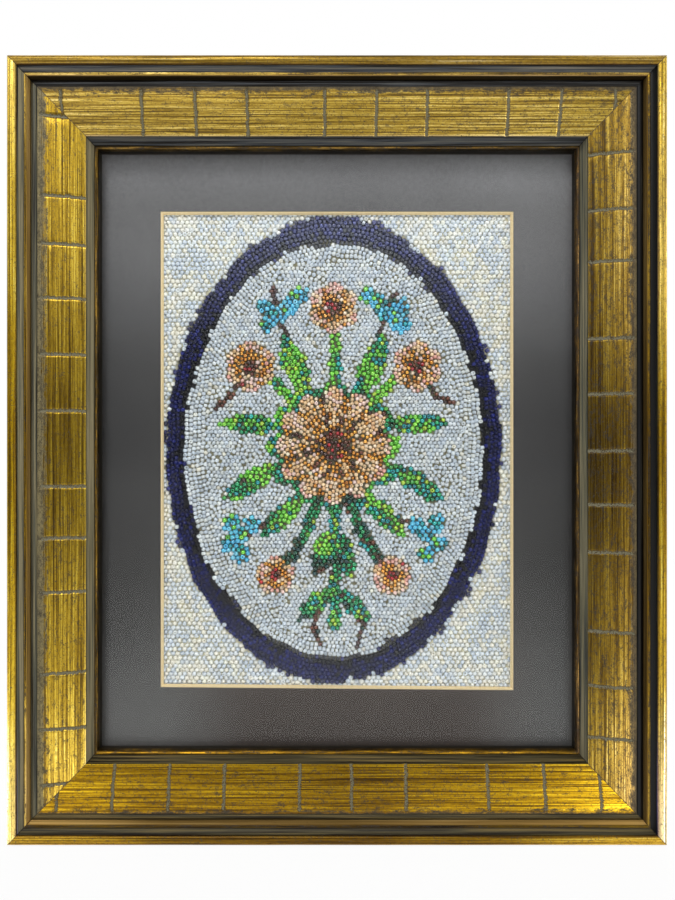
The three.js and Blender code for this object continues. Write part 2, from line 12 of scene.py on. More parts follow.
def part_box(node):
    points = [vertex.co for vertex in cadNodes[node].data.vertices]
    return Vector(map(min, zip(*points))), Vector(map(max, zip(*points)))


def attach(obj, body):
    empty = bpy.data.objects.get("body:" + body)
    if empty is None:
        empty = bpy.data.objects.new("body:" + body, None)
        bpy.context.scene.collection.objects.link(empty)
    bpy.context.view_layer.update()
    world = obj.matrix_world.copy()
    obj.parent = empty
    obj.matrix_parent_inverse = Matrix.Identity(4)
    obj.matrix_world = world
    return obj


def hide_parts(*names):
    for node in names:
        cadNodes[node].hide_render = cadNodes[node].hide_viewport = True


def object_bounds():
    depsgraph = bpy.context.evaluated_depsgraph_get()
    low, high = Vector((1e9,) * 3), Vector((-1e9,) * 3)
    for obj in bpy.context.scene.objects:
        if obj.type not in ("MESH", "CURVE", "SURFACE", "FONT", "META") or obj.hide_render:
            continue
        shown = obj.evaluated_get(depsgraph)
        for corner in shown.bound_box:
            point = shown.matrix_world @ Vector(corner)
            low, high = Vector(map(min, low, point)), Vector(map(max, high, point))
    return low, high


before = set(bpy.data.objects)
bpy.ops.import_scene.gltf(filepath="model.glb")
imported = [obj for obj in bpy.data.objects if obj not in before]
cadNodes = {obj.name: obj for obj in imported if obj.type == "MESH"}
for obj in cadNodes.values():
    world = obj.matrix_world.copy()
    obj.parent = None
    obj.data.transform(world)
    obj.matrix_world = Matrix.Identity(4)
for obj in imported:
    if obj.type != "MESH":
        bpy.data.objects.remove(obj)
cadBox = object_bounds()
mm = 0.001
print("frame loaded:", len(cadNodes), "nodes")

# The picture's own frame, in mm: x to the right, z up from the glass's middle, forward from the rails' back
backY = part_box("rail_top")[1].y / mm
middleZ = (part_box("glass")[0].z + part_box("glass")[1].z) / 2 / mm


def spot(x, forward, z):
    return Vector((x * mm, (backY - forward) * mm, (middleZ + z) * mm))


def hexColour(text):  # sRGB hex to linear
    parts = [int(text[i:i + 2], 16) / 255 for i in (1, 3, 5)]
    return tuple(v / 12.92 if v <= 0.04045 else ((v + 0.055) / 1.055) ** 2.4 for v in parts) + (1.0,)


multiply = dict(data_type="RGBA", blend_type="MULTIPLY")  # settings of a Mix node
blend = dict(data_type="RGBA")


def addNode(tree, kind, *values, ramp=None, **settings):
    # values go to the sockets in use, in their order, or by name where they come as one dictionary
    node = tree.nodes.new(kind if "Node" in kind else "ShaderNode" + kind)
    for name, value in settings.items():
        setattr(node, name, value)
    if values and isinstance(values[0], dict):
        pairs = [(node.inputs[key], value) for key, value in values[0].items()]
    else:
        pairs = list(zip([socket for socket in node.inputs if socket.enabled], values))
    for socket, value in pairs:
        if isinstance(value, bpy.types.Node):  # a node stands for its first output in use
            value = next(output for output in value.outputs if output.enabled)
        if isinstance(value, bpy.types.NodeSocket):
            tree.links.new(value, socket)
        else:
            socket.default_value = hexColour(value) if str(value).startswith("#") else value
    if ramp:
        stops = node.color_ramp.elements
        while len(stops) < len(ramp):
            stops.new(1)
        for stop, (place, colour) in zip(stops, ramp):
            stop.position = place
            stop.color = hexColour(colour)
    return node


def emptied(tree):
    tree.nodes.clear()
    return partial(addNode, tree)


def newMaterial(name):
    material = bpy.data.materials.new(name)
    material.use_nodes = True
    return material, emptied(material.node_tree)


def newTree(name, lengths, counts, surface):
    # a Geometry Nodes tree, the identifiers of its named inputs, and what adds a node to it
    tree = bpy.data.node_groups.new(name, "GeometryNodeTree")
    tree.interface.new_socket("Geometry", in_out="OUTPUT", socket_type="NodeSocketGeometry")
    kinds = [("Geometry", "Geometry")] + [(label, "Float") for label in lengths]
    kinds += [(label, "Int") for label in counts] + [(surface, "Material")]
    sockets = {}
    for label, kind in kinds:
        made = tree.interface.new_socket(label, in_out="INPUT", socket_type="NodeSocket" + kind)
        sockets[label] = made.identifier
    return tree, sockets, partial(addNode, tree)


def newObject(name, data):
    made = bpy.data.objects.new(name, data)
    bpy.context.collection.objects.link(made)
    return made


def objectFrom(mesh, name, *materials):
    # a working mesh becomes an object of its own
    data = bpy.data.meshes.new(name)
    mesh.to_mesh(data)
    mesh.free()
    for material in materials:
        data.materials.append(material)
    return newObject(name, data)


def plainCopy(piece):
    # the evaluated shape as a plain mesh, and no modifier left on the piece
    graph = bpy.context.evaluated_depsgraph_get()
    mesh = bpy.data.meshes.new_from_object(
        piece.evaluated_get(graph), preserve_all_data_layers=True, depsgraph=graph)
    piece.modifiers.clear()
    mesh.name = piece.name
    piece.data = mesh


def runTree(piece, tree, sockets, values):
    modifier = piece.modifiers.new(tree.name, "NODES")
    modifier.node_group = tree
    for label, value in values.items():
        modifier[sockets[label]] = value
    plainCopy(piece)


def settle(piece, body, nodes):
    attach(piece, body)
    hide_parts(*nodes)


def welded(node):
    # a CAD node's own shape as one working mesh
    mesh = bmesh.new()
    mesh.from_mesh(cadNodes[node].data)
    bmesh.ops.remove_doubles(mesh, verts=mesh.verts, dist=0.01 * mm)
    mesh.normal_update()
    return mesh


def middleOf(node):
    low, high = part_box(node)
    return (low + high) / 2


def clamp(value, low=0, high=1):
    return min(high, max(low, value))


def softened(mesh, sharp):
    # hard edges where the faces turn by more than this angle
    for edge in mesh.edges:
        if len(edge.link_faces) == 2 and edge.calc_face_angle(0) > math.radians(sharp):
            edge.smooth = False


def meshPiece(name, mesh, material, sharp=35):
    bmesh.ops.recalc_face_normals(mesh, faces=mesh.faces)
    for face in mesh.faces:
        face.smooth = True
    softened(mesh, sharp)
    return objectFrom(mesh, name, material)


def joinRings(mesh, ring, other):
    # faces between two closed rings of corners; a ring may be a single point
    count = max(len(ring), len(other))
    for k in range(count):
        n = (k + 1) % count
        corners = [ring[k % len(ring)], ring[n % len(ring)], other[n % len(other)], other[k % len(other)]]
        mesh.faces.new([v for i, v in enumerate(corners) if v not in corners[:i]])


# Camera and studio

cameraSettings = dict(
    distance=260,  # from the lip's front to the lens, as the spread of the moulding's steps says
    lipFront=17.3,
    lens=25.25,
    aimX=0.2,
    aimZ=0.05,
)
camera = bpy.data.cameras.new("camera")
camera.lens = cameraSettings["lens"]
camera.sensor_width = 36
camera.clip_start = 0.01
cameraObject = newObject("camera", camera)
cameraObject.location = spot(
    cameraSettings["aimX"], cameraSettings["lipFront"] + cameraSettings["distance"], cameraSettings["aimZ"])
cameraObject.rotation_euler = (math.pi / 2, 0, 0)
bpy.context.scene.camera = cameraObject
bpy.context.scene.view_settings.view_transform = "Standard"

studio = dict(
    worldDiffuse=0.6,
    glossyMiddle=0.55,  # the room straight ahead of the picture is darker than its ceiling and floor
    glossyEnds=1.5,
    glossySpread=0.6,
    lamps=[
        dict(name="keyLamp", place=(-0.22, -0.72, 0.74), size=(0.3, 0.3), watts=4.5),
        dict(name="rightLamp", place=(1.05, -0.5, 0.05), size=(0.45, 0.8), watts=4.5),
        dict(name="backLamp", place=(0.25, 1.1, 0.6), size=(0.9, 0.9), watts=8.0),
    ],
    floorGap=0.0006, floorReach=4,
    floorNear=0.25, floorFar=0.8,
    floorShine=2.0, floorFarShine=0.95,  # how bright the floor is in the gilding, close by and far off
)


def buildStudio():
    world = bpy.data.worlds.new("studioWorld")
    bpy.context.scene.world = world
    world.use_nodes = True
    add = emptied(world.node_tree)
    rays = add("LightPath")
    direction = add("TexCoord").outputs["Generated"]
    height = add("SeparateXYZ", direction).outputs["Z"]
    fromLevel = add("Math", height, operation="ABSOLUTE")
    lift = add("MapRange", fromLevel, 0, studio["glossySpread"], studio["glossyMiddle"], studio["glossyEnds"])
    glossy = add("Mix", rays.outputs["Is Glossy Ray"], studio["worldDiffuse"], lift)
    seen = add("Math", rays.outputs["Is Camera Ray"], rays.outputs["Is Transmission Ray"], operation="MAXIMUM")
    strength = add("Mix", seen, glossy, 1)
    light = add("Background", (1, 1, 1, 1), strength)
    add("OutputWorld", light)

    target = spot(0, 10, 0)
    for lamp in studio["lamps"]:
        data = bpy.data.lights.new(lamp["name"], "AREA")
        data.shape = "RECTANGLE"
        data.size, data.size_y = lamp["size"]
        data.energy = lamp["watts"]
        lampObject = newObject(lamp["name"], data)
        lampObject.location = Vector(lamp["place"]) + Vector((0, 0, target.z))
        lampObject.rotation_euler = (target - lampObject.location).to_track_quat("-Z", "Y").to_euler()

    # Pale studio floor: white to the camera and in reflections, yet it keeps the object's shadow
    material, add = newMaterial("paleStudioFloor")
    rays = add("LightPath")
    clear = add("Math", rays.outputs["Is Camera Ray"], rays.outputs["Is Transmission Ray"], operation="MAXIMUM")
    seen = add("Math", clear, rays.outputs["Is Glossy Ray"], operation="MAXIMUM")
    where = add("TexCoord").outputs["Object"]
    away = add("VectorMath", where, target, operation="DISTANCE").outputs["Value"]
    fade = add("MapRange", away, studio["floorNear"], studio["floorFar"], 0.94, 1)
    shine = add("MapRange", away, studio["floorNear"], studio["floorFar"], studio["floorShine"],
                studio["floorFarShine"])
    level = add("Mix", rays.outputs["Is Glossy Ray"], 1, shine)
    share = add("Math", seen, fade, operation="MULTIPLY")
    glow = add("Emission", (1, 1, 1, 1), level)
    paint = add("BsdfDiffuse", "#f2f2f0")
    add("OutputMaterial", add("MixShader", share, paint, glow))
    mesh = bpy.data.meshes.new("studioFloor")
    level = cadBox[0].z - studio["floorGap"]
    reach = studio["floorReach"]
    corners = [(-reach, -reach, level), (reach, -reach, level), (reach, reach, level), (-reach, reach, level)]
    mesh.from_pydata(corners, [], [(0, 1, 2, 3)])
    mesh.materials.append(material)
    newObject("studioFloor", mesh)


buildStudio()
print("camera, lamps and floor made")


# Gilt moulding

moulding = dict(
    sightHalfWidth=98.44, sightHalfHeight=123.84, width=31.0,
    lipFront=17.3,
    mitreLine=0.13,
    stationStep=3.2,
    cutHalfWidth=0.66, cutDepth=0.5, cutWobble=0.35,
    cornerRadius=1.4,
    unevenness=0.05,
    panelFrom=3.0, panelTo=20.8, panelMiddle=11.9, panelHalf=8.9,
    coveFrom=25.3, coveWidth=1.9, marginWidth=3.4,
    clearance=0.15, screwHole=1.6, nailHole=0.75,
)
# Each stretch: name, then a curve's start, pull and end as distance outwards and rise over the lip, and steps
mouldingStretches = [
    ("lip", (0, -0.6), (0.75, 1.2), (1.5, 0), 7),
    ("band", (1.5, 0), (2.75, 2.5), (3.0, 5.0), 7),
    ("panel", (3.0, 5.0), (11.9, 7.7), (20.8, 8.8), 26),
    ("groove", (20.8, 8.8), (20.85, 8.1), (20.9, 7.4), 2),
    ("groove", (20.9, 7.4), (22.5, 9.5), (24.1, 7.4), 8),
    ("drop", (24.1, 7.4), (24.12, 8.3), (24.15, 9.2), 2),
    ("drop", (24.15, 9.2), (24.18, 10.0), (24.2, 10.9), 2),
    ("fillet", (24.2, 10.9), (24.75, 11.5), (25.3, 10.95), 5),
    ("cove", (25.3, 10.6), (26.25, 10.5), (27.2, 12.5), 7),
    ("rim", (27.2, 12.5), (27.3, 13.65), (29.6, 13.6), 8),
    ("rim", (29.6, 13.6), (29.8, 13.1), (30.0, 13.4), 3),
    ("rim", (30.0, 13.4), (30.8, 13.3), (31.0, 12.2), 5),
    ("side", (31.0, 12.2), (31.0, 0), (31.0, -17.3), 6),
    ("wood", (31.0, -17.3), (18, -17.3), (4.76, -17.3), 6),
    ("wood", (4.76, -17.3), (4.76, -10), (4.76, -4.5), 2),
    ("wood", (4.76, -4.5), (2.4, -4.5), (0, -4.5), 1),
    ("lipWall", (0, -4.5), (0, -3), (0, -2.1), 2),
    ("lip", (0, -2.1), (0, -1.4), (0, -0.6), 2),
]
# Along and out in x and z, the half length at the sight edge, and the score lines as shares of the outer length
# most of each rail's levels below (toning, tints, glare, lip, fillet, panel lean, paint tints and wax levels)
# are painted light: the room's reflections and shade, lighter or darker along and across each rail
rails = dict(
    top=dict(
        along=(1, 0), out=(0, 1), bodyHalf="sightHalfWidth", acrossHalf="sightHalfHeight", seed=3,
        patina=(1.3, 1.16, 1.0, 1.2, 0.92), rimPatina=(0.6, 0.42, 0.46, 0.6, 0.57),
        tint=(1, 0.98, 1), rimTint=(1, 1.03, 2.1), glare=(1, 1.06, 1.8), lipTone=0.7,
        lean=0.0, grime=(-0.025, 0.025), marginFrom=18.4, marginTone="#3a3122", marginFade=0.0,
        paintTint=(0.95, 0.97, 1.33), haze=dict(cove=0.2, band=0.13, groove=-0.04), filletTone=(0.04, 1.4),
        cuts=(-0.426, -0.302, -0.219, -0.139, -0.019, 0.061, 0.14, 0.265, 0.346, 0.43)),
    bottom=dict(
        along=(1, 0), out=(0, -1), bodyHalf="sightHalfWidth", acrossHalf="sightHalfHeight", seed=17,
        patina=(1.25, 0.56, 0.42, 0.68, 2.0), rimPatina=(0.9, 0.2, 0.19, 0.33, 0.85),
        tint=(1, 0.84, 0.1), rimTint=(1, 0.97, 0.8), glare=(1, 1.12, 2.2), lipTone=2.2,
        lean=0.0, grime=(-0.005, -0.01), marginFrom=19.7, marginTone="#3a3020", marginFade=0.0,
        paintTint=(0.92, 0.72, 0.42), haze=dict(cove=0.13, band=0.12, groove=0.14), filletTone=(0.85, 0.25),
        cuts=(-0.433, -0.347, -0.261, -0.175, -0.058, 0.023, 0.107, 0.234, 0.322, 0.408)),
    left=dict(
        along=(0, 1), out=(-1, 0), bodyHalf="sightHalfHeight", acrossHalf="sightHalfWidth", seed=29,
        patina=(1.64, 0.64, 0.4, 0.79, 0.48), rimPatina=(1.55, 0.84, 0.55, 0.89, 1.25),
        tint=(1, 0.96, 0.6), rimTint=(1, 1.1, 0.95), glare=(1, 1.25, 4.2), lipTone=1.1,
        lean=-0.06, grime=(0.0, -0.035), marginFrom=17.4, marginTone="#6a6143", marginFade=0.1,
        paintTint=(1.04, 1, 0.95), haze=dict(cove=0.4, band=0.42, groove=0.2), filletTone=(0.55, 0.9),
        cuts=(-0.432, -0.361, -0.289, -0.184, -0.114, -0.047, 0.051, 0.124, 0.197, 0.267, 0.329, 0.432)),
    right=dict(
        along=(0, 1), out=(1, 0), bodyHalf="sightHalfHeight", acrossHalf="sightHalfWidth", seed=41,
        patina=(1.36, 0.45, 0.22, 0.76, 0.69), rimPatina=(2.4, 0.82, 0.5, 1.45, 1.0),
        tint=(1, 0.94, 1.0), rimTint=(1, 1.08, 1.1), glare=(1, 1.2, 3.2), lipTone=1.4,
        lean=0.85, grime=(0.02, 0.045), marginFrom=17.8, marginTone="#66583f", marginFade=0.85,
        paintTint=(1.0, 1.0, 1.05), haze=dict(cove=-0.48, band=0.32, groove=-0.34), filletTone=(0.2, 0.65),
        cuts=(-0.374, -0.307, -0.236, -0.133, -0.071, -0.001, 0.073, 0.145, 0.245, 0.312, 0.385)),
)


def giltFinish(name, look):
    # imitation gold leaf over red bole, combed while wet: fine straight streaks, brown wax in the hollows; each
    # rail's toning is mostly painted reflection and shade of the room
    material, add = newMaterial(name)
    place = add("Attribute", attribute_name="place").outputs["Vector"]
    patina = add("Attribute", attribute_name="patina").outputs["Color"]
    cut = add("Attribute", attribute_name="cut").outputs["Fac"]
    margin = add("Attribute", attribute_name="margin").outputs["Fac"]
    waxTone = add("Attribute", attribute_name="waxTone").outputs["Color"]
    grime = add("Attribute", attribute_name="grime").outputs["Fac"]
    mitre = add("Attribute", attribute_name="mitre").outputs["Fac"]
    axes = add("SeparateXYZ", place).outputs["Y"]
    # in millimetres, along the rail: long streaks, short ones across them, and a fine scratchy grain
    streakLength, streakWidth = look["streakLength"], look["streakWidth"]
    longPlace = add("Mapping", {"Vector": place, "Scale": (1 / streakLength, 1 / streakWidth, 0.02)})
    long = add("TexNoise", longPlace, 1, 2, 0.65)
    shortPlace = add("Mapping", {
        "Vector": place, "Location": (31, 7, 3), "Scale": (3 / streakLength, 1.9 / streakWidth, 0.02)})
    short = add("TexNoise", shortPlace, 1, 1, 0.6)
    grainPlace = add("Mapping", {
        "Vector": place, "Location": (13, 3, 8), "Scale": (1 / 1.7, 1.9 / streakWidth, 0.02)})
    grain = add("TexNoise", grainPlace, 1, 2, 0.6)
    combing = add("Mix", 0.45, long, short)
    streak = add("Mix", 0.16, combing, grain)
    leaf = add("ValToRGB", streak, ramp=look["leaf"])
    # smudges of wax about 3 mm across, drawn out along the rail, with grit of 0.6 mm in them
    smudgePlace = add("Mapping", {"Vector": place, "Location": (2, 9, 4), "Scale": (0.28, 0.6, 0.05)})
    smudge = add("TexNoise", smudgePlace, 1, 5, 0.78)
    speck = add("TexNoise", place, 1.5, 3, 0.65)
    thick = add("Math", speck, 0.45, smudge, operation="MULTIPLY_ADD")
    grimy = add("Math", thick, grime, operation="ADD")
    speckShare = add("MapRange", grimy, look["speckFrom"], look["speckFrom"] + 0.14, 0, look["speckStrength"])
    specked = add("Mix", speckShare, leaf, look["wax"], **blend)
    rub = add("MapRange", axes, look["rubTo"], look["rubFrom"], 0, look["rubStrength"])
    rubbed = add("Mix", rub, specked, look["rub"], **blend)
    # toning over the whole rail, mostly painted reflection and shade, then the wax that is left along the
    # panel's outer margin, ragged and speckled, its colour paler on the side rails as painted sheen
    litAndToned = add("Mix", 1, rubbed, patina, **multiply)
    combed = add("Math", streak, 10, margin, operation="MULTIPLY_ADD")
    wander = add("Math", smudge, 8, combed, operation="MULTIPLY_ADD")
    dirt = add("MapRange", wander, 9, 10.2, 0, 0.9)
    uneven = add("MapRange", thick, 0.6, 0.82, 1.35, 0.45)
    mottled = add("Mix", 1, waxTone, uneven, **multiply)
    wax = add("Mix", speckShare, mottled, look["wax"], **blend)
    dirty = add("Mix", dirt, litAndToned, wax, **blend)
    chipping = add("TexNoise", place, 1.9, 2, 0.6)
    ragged = add("Math", chipping, 3, cut, operation="MULTIPLY_ADD")
    lifted = add("MapRange", ragged, 1.82, 2, 0, 0.85)
    chipped = add("Mix", lifted, dirty, "#30260f", **blend)
    filler = add("MapRange", ragged, 2.18, 2.35, 0, 0.95)
    filled = add("Mix", filler, chipped, "#66624c", **blend)
    crack = add("MapRange", mitre, moulding["mitreLine"], moulding["mitreLine"] * 2, 0.75, 0)
    mitred = add("Mix", crack, filled, "#2a1d12", **blend)
    worn = add("Math", dirt, lifted, operation="MAXIMUM")
    dull = add("Math", worn, crack, operation="MAXIMUM")
    duller = add("Math", dull, speckShare, operation="MAXIMUM")
    metal = add("MapRange", duller, 0, 1, 0.88, 0.25)
    rough = add("MapRange", duller, 0, 1, look["rough"], 0.62)
    bump = add("Bump", {"Strength": 0.3, "Distance": 0.0001, "Height": streak})
    add("OutputMaterial", add("BsdfPrincipled", {
        "Base Color": mitred, "Metallic": metal, "Roughness": rough, "Normal": bump}))
    return material


leafRamp = [(0.4, "#584519"), (0.455, "#826824"), (0.5, "#a0842f"), (0.555, "#bea242"), (0.62, "#e0c86e")]
rimRamp = [(0.4, "#6b5516"), (0.46, "#957423"), (0.51, "#b8932c"), (0.57, "#d4b044"), (0.64, "#f0d684")]
filletRamp = [(0.4, "#33270e"), (0.46, "#5e4a1b"), (0.51, "#7e6527"), (0.57, "#a08336"), (0.64, "#c9ab5c")]
lipRamp = [(0.4, "#33281a"), (0.48, "#5a4728"), (0.54, "#83683a"), (0.62, "#bd9a5c")]
giltLooks = dict(
    panel=dict(streakLength=90, streakWidth=0.62, leaf=leafRamp, speckFrom=0.75, speckStrength=0.75,
               wax="#2e2513", rub="#e9cf92", rubFrom=3.1, rubTo=3.6, rubStrength=0.42, rough=0.36),
    rim=dict(streakLength=120, streakWidth=0.8, leaf=rimRamp, speckFrom=0.79, speckStrength=0.6,
             wax="#3d2c12", rub="#4f3519", rubFrom=27.3, rubTo=27.8, rubStrength=0.7, rough=0.34),
    fillet=dict(streakLength=70, streakWidth=0.6, leaf=filletRamp, speckFrom=0.735, speckStrength=0.85,
                wax="#241a0d", rub="#3a2812", rubFrom=24.25, rubTo=24.45, rubStrength=0.15, rough=0.38),
    lip=dict(streakLength=30, streakWidth=0.6, leaf=lipRamp, speckFrom=0.735, speckStrength=0.9,
             wax="#2a2013", rub="#2c2113", rubFrom=0.15, rubTo=0.45, rubStrength=0.45, rough=0.42),
)


def paintFinish(name, look):
    # casein black rubbed with grey wax: satin, paler on the crests, long scuffs, a few chips down to the bole;
    # how pale the wax is on each rail and in the cove is partly painted reflection
    material, add = newMaterial(name)
    place = add("Attribute", attribute_name="place").outputs["Vector"]
    haze = add("Attribute", attribute_name="haze").outputs["Fac"]
    mitre = add("Attribute", attribute_name="mitre").outputs["Fac"]
    patina = add("Attribute", attribute_name="patina").outputs["Color"]
    streakPlace = add("Mapping", {"Vector": place, "Scale": (1 / 55, 1 / 0.6, 1 / 1.1)})
    streak = add("TexNoise", streakPlace, 1, 3, 0.6)
    lined = add("Math", streak, 1.6, -0.35, operation="MULTIPLY_ADD")
    waxAndSheenShare = add("Math", lined, haze, operation="ADD")
    waxedAndLit = add("ValToRGB", waxAndSheenShare, ramp=look["ramp"])
    paint = add("Mix", 1, waxedAndLit, patina, **multiply)
    chipPlace = add("Mapping", {"Vector": place, "Location": (9, 4, 1), "Scale": (1 / 2.4, 1 / 0.9, 1 / 0.9)})
    chip = add("TexNoise", chipPlace, 1, 4, 0.7)
    chipShare = add("MapRange", chip, look["chipFrom"], look["chipFrom"] + 0.05, 0, 0.8)
    chipped = add("Mix", chipShare, paint, look["under"], **blend)
    crack = add("MapRange", mitre, moulding["mitreLine"], moulding["mitreLine"] * 2, 0.85, 0)
    mitred = add("Mix", crack, chipped, "#0e0b08", **blend)
    rough = add("MapRange", streak, 0.3, 0.7, 0.42, 0.58)
    bump = add("Bump", {"Strength": 0.35, "Distance": 0.0001, "Height": streak})
    add("OutputMaterial", add("BsdfPrincipled", {
        "Base Color": mitred, "Roughness": rough, "Specular IOR Level": 0.18, "Normal": bump}))
    return material


paintLooks = dict(
    front=dict(ramp=[
        (0.1, "#040404"), (0.3, "#14120e"), (0.44, "#302d22"), (0.57, "#454842"), (0.78, "#6b6751"),
        (1.0, "#8a8267")], chipFrom=0.7, under="#2a1d10"),
    # bronze for the drop, brightened as painted highlight where it faces the light
    bronze=dict(ramp=[(0.1, "#8a6c38"), (0.5, "#c49c58"), (0.9, "#ecca88")], chipFrom=0.66, under="#3a2611"),
    side=dict(ramp=[(0.3, "#1d1b17"), (0.6, "#2c2821"), (1.0, "#4a4334")], chipFrom=0.7, under="#7b5a2a"),
    sight=dict(ramp=[(0.3, "#15130f"), (0.6, "#221d16"), (1.0, "#352b1e")], chipFrom=0.74, under="#3a2a14"),
)


def woodFinish(name, upright):
    # raw planed pine: pale, with darker growth lines about 3 mm apart that run along the rail
    material, add = newMaterial(name)
    where = add("TexCoord").outputs["Object"]
    turned = add("Mapping", {"Vector": where, "Scale": (330, 330, 12) if upright else (12, 330, 330)})
    grain = add("TexNoise", {"Vector": turned, "Scale": 1, "Detail": 4, "Roughness": 0.6, "Distortion": 0.6})
    colour = add("ValToRGB", grain, ramp=[
        (0.3, "#9a744a"), (0.45, "#bd9868"), (0.58, "#cfae80"), (0.75, "#dcc096")])
    pores = add("Mapping", {"Vector": where, "Scale": (2600, 2600, 90) if upright else (90, 2600, 2600)})
    pore = add("TexNoise", pores, 1, 2)
    poreShare = add("MapRange", pore, 0.62, 0.72, 0, 0.5)
    planed = add("Mix", poreShare, colour, "#7d5a35", **blend)
    bump = add("Bump", {"Strength": 0.4, "Distance": 0.0002, "Height": grain})
    add("OutputMaterial", add("BsdfPrincipled", {"Base Color": planed, "Roughness": 0.78, "Normal": bump}))
    return material


giltMaterials = {name: giltFinish(name + "Gilt", look) for name, look in giltLooks.items()}
paintMaterials = {name: paintFinish(name + "BlackPaint", look) for name, look in paintLooks.items()}
woodMaterials = dict(level=woodFinish("rawPineLevel", False), upright=woodFinish("rawPineUpright", True))
stretchFinish = dict(
    lip=giltMaterials["lip"], band=paintMaterials["front"], panel=giltMaterials["panel"],
    groove=paintMaterials["front"], drop=paintMaterials["bronze"], fillet=giltMaterials["fillet"],
    cove=paintMaterials["front"], rim=giltMaterials["rim"], side=paintMaterials["side"],
    lipWall=paintMaterials["sight"])


def curvePoint(start, pull, end, share):
    rest = 1 - share
    return tuple(rest * rest * a + 2 * rest * share * b + share * share * c
                 for a, b, c in zip(start, pull, end))


def cutShape(along, across, cuts, seed):
    # how deep the nearest score line cuts here, from 0 to 1: the lines wander a little
    best = 0.0
    for index, centre in enumerate(cuts):
        wobble = moulding["cutWobble"] * noise.noise(Vector((across * 0.35, index * 3.7 + seed, 0)))
        gap = abs(along - centre - wobble)
        if gap < moulding["cutHalfWidth"] * 1.6:
            best = max(best, clamp((moulding["cutHalfWidth"] * 1.5 - gap) / moulding["cutHalfWidth"]))
    inner = clamp((across - moulding["panelFrom"] + 0.4) / 0.4)
    outer = clamp((moulding["panelTo"] + 0.1 - across) / 1.6)
    return best * inner * outer


def toneAlong(levels, share):
    # a rail's painted light and toning, or its grime, eased between its levels at even steps from one end to the
    # other
    place = clamp(share, 0, 0.9999) * (len(levels) - 1)
    step = int(place)
    ease = place - step
    ease = ease * ease * (3 - 2 * ease)
    return levels[step] * (1 - ease) + levels[step + 1] * ease


def toningAndLightOf(rail, name, along, across, share):
    # what the toning, mostly painted light and shade, multiplies the leaf or the paint by at this place
    if name in ("side", "lipWall"):
        return 1, 1, 1
    if name in rail["haze"]:
        return rail["paintTint"]
    onFillet = name in ("drop", "fillet")
    onRim = onFillet or name == "rim"
    level = toneAlong(rail["rimPatina" if onRim else "patina"], share)
    level *= 1 + 0.08 * noise.noise(Vector((along * 0.03, rail["seed"], 1.5)))
    # the lip's inner face is darker as painted shade, and each rail's lip brighter or darker as painted light
    if name == "lip":
        level = rail["lipTone"] * 0.75 * level ** 0.5 * (1 if across > 0 else 0.6)
    # the drop and the fillet's crest: painted highlight or shade per rail, by which way they face
    if onFillet:
        drop, crest = rail["filletTone"]
        level = (level / sum(rail["rimPatina"]) * len(rail["rimPatina"])) ** 0.5
        level *= crest if name == "fillet" else drop
    # the panel is brighter towards one edge as painted reflection
    if name == "panel":
        level *= math.exp(rail["lean"] * (across - moulding["panelMiddle"]) / moulding["panelHalf"])
    tint = (1, 1.02, 1.0) if onFillet else rail["rimTint" if onRim else "tint"]
    powers = (1, 1, 1) if name == "drop" else rail["glare"] if onRim else (1, 1.06, 1.8)
    return tuple(part * level ** power for part, power in zip(tint, powers))


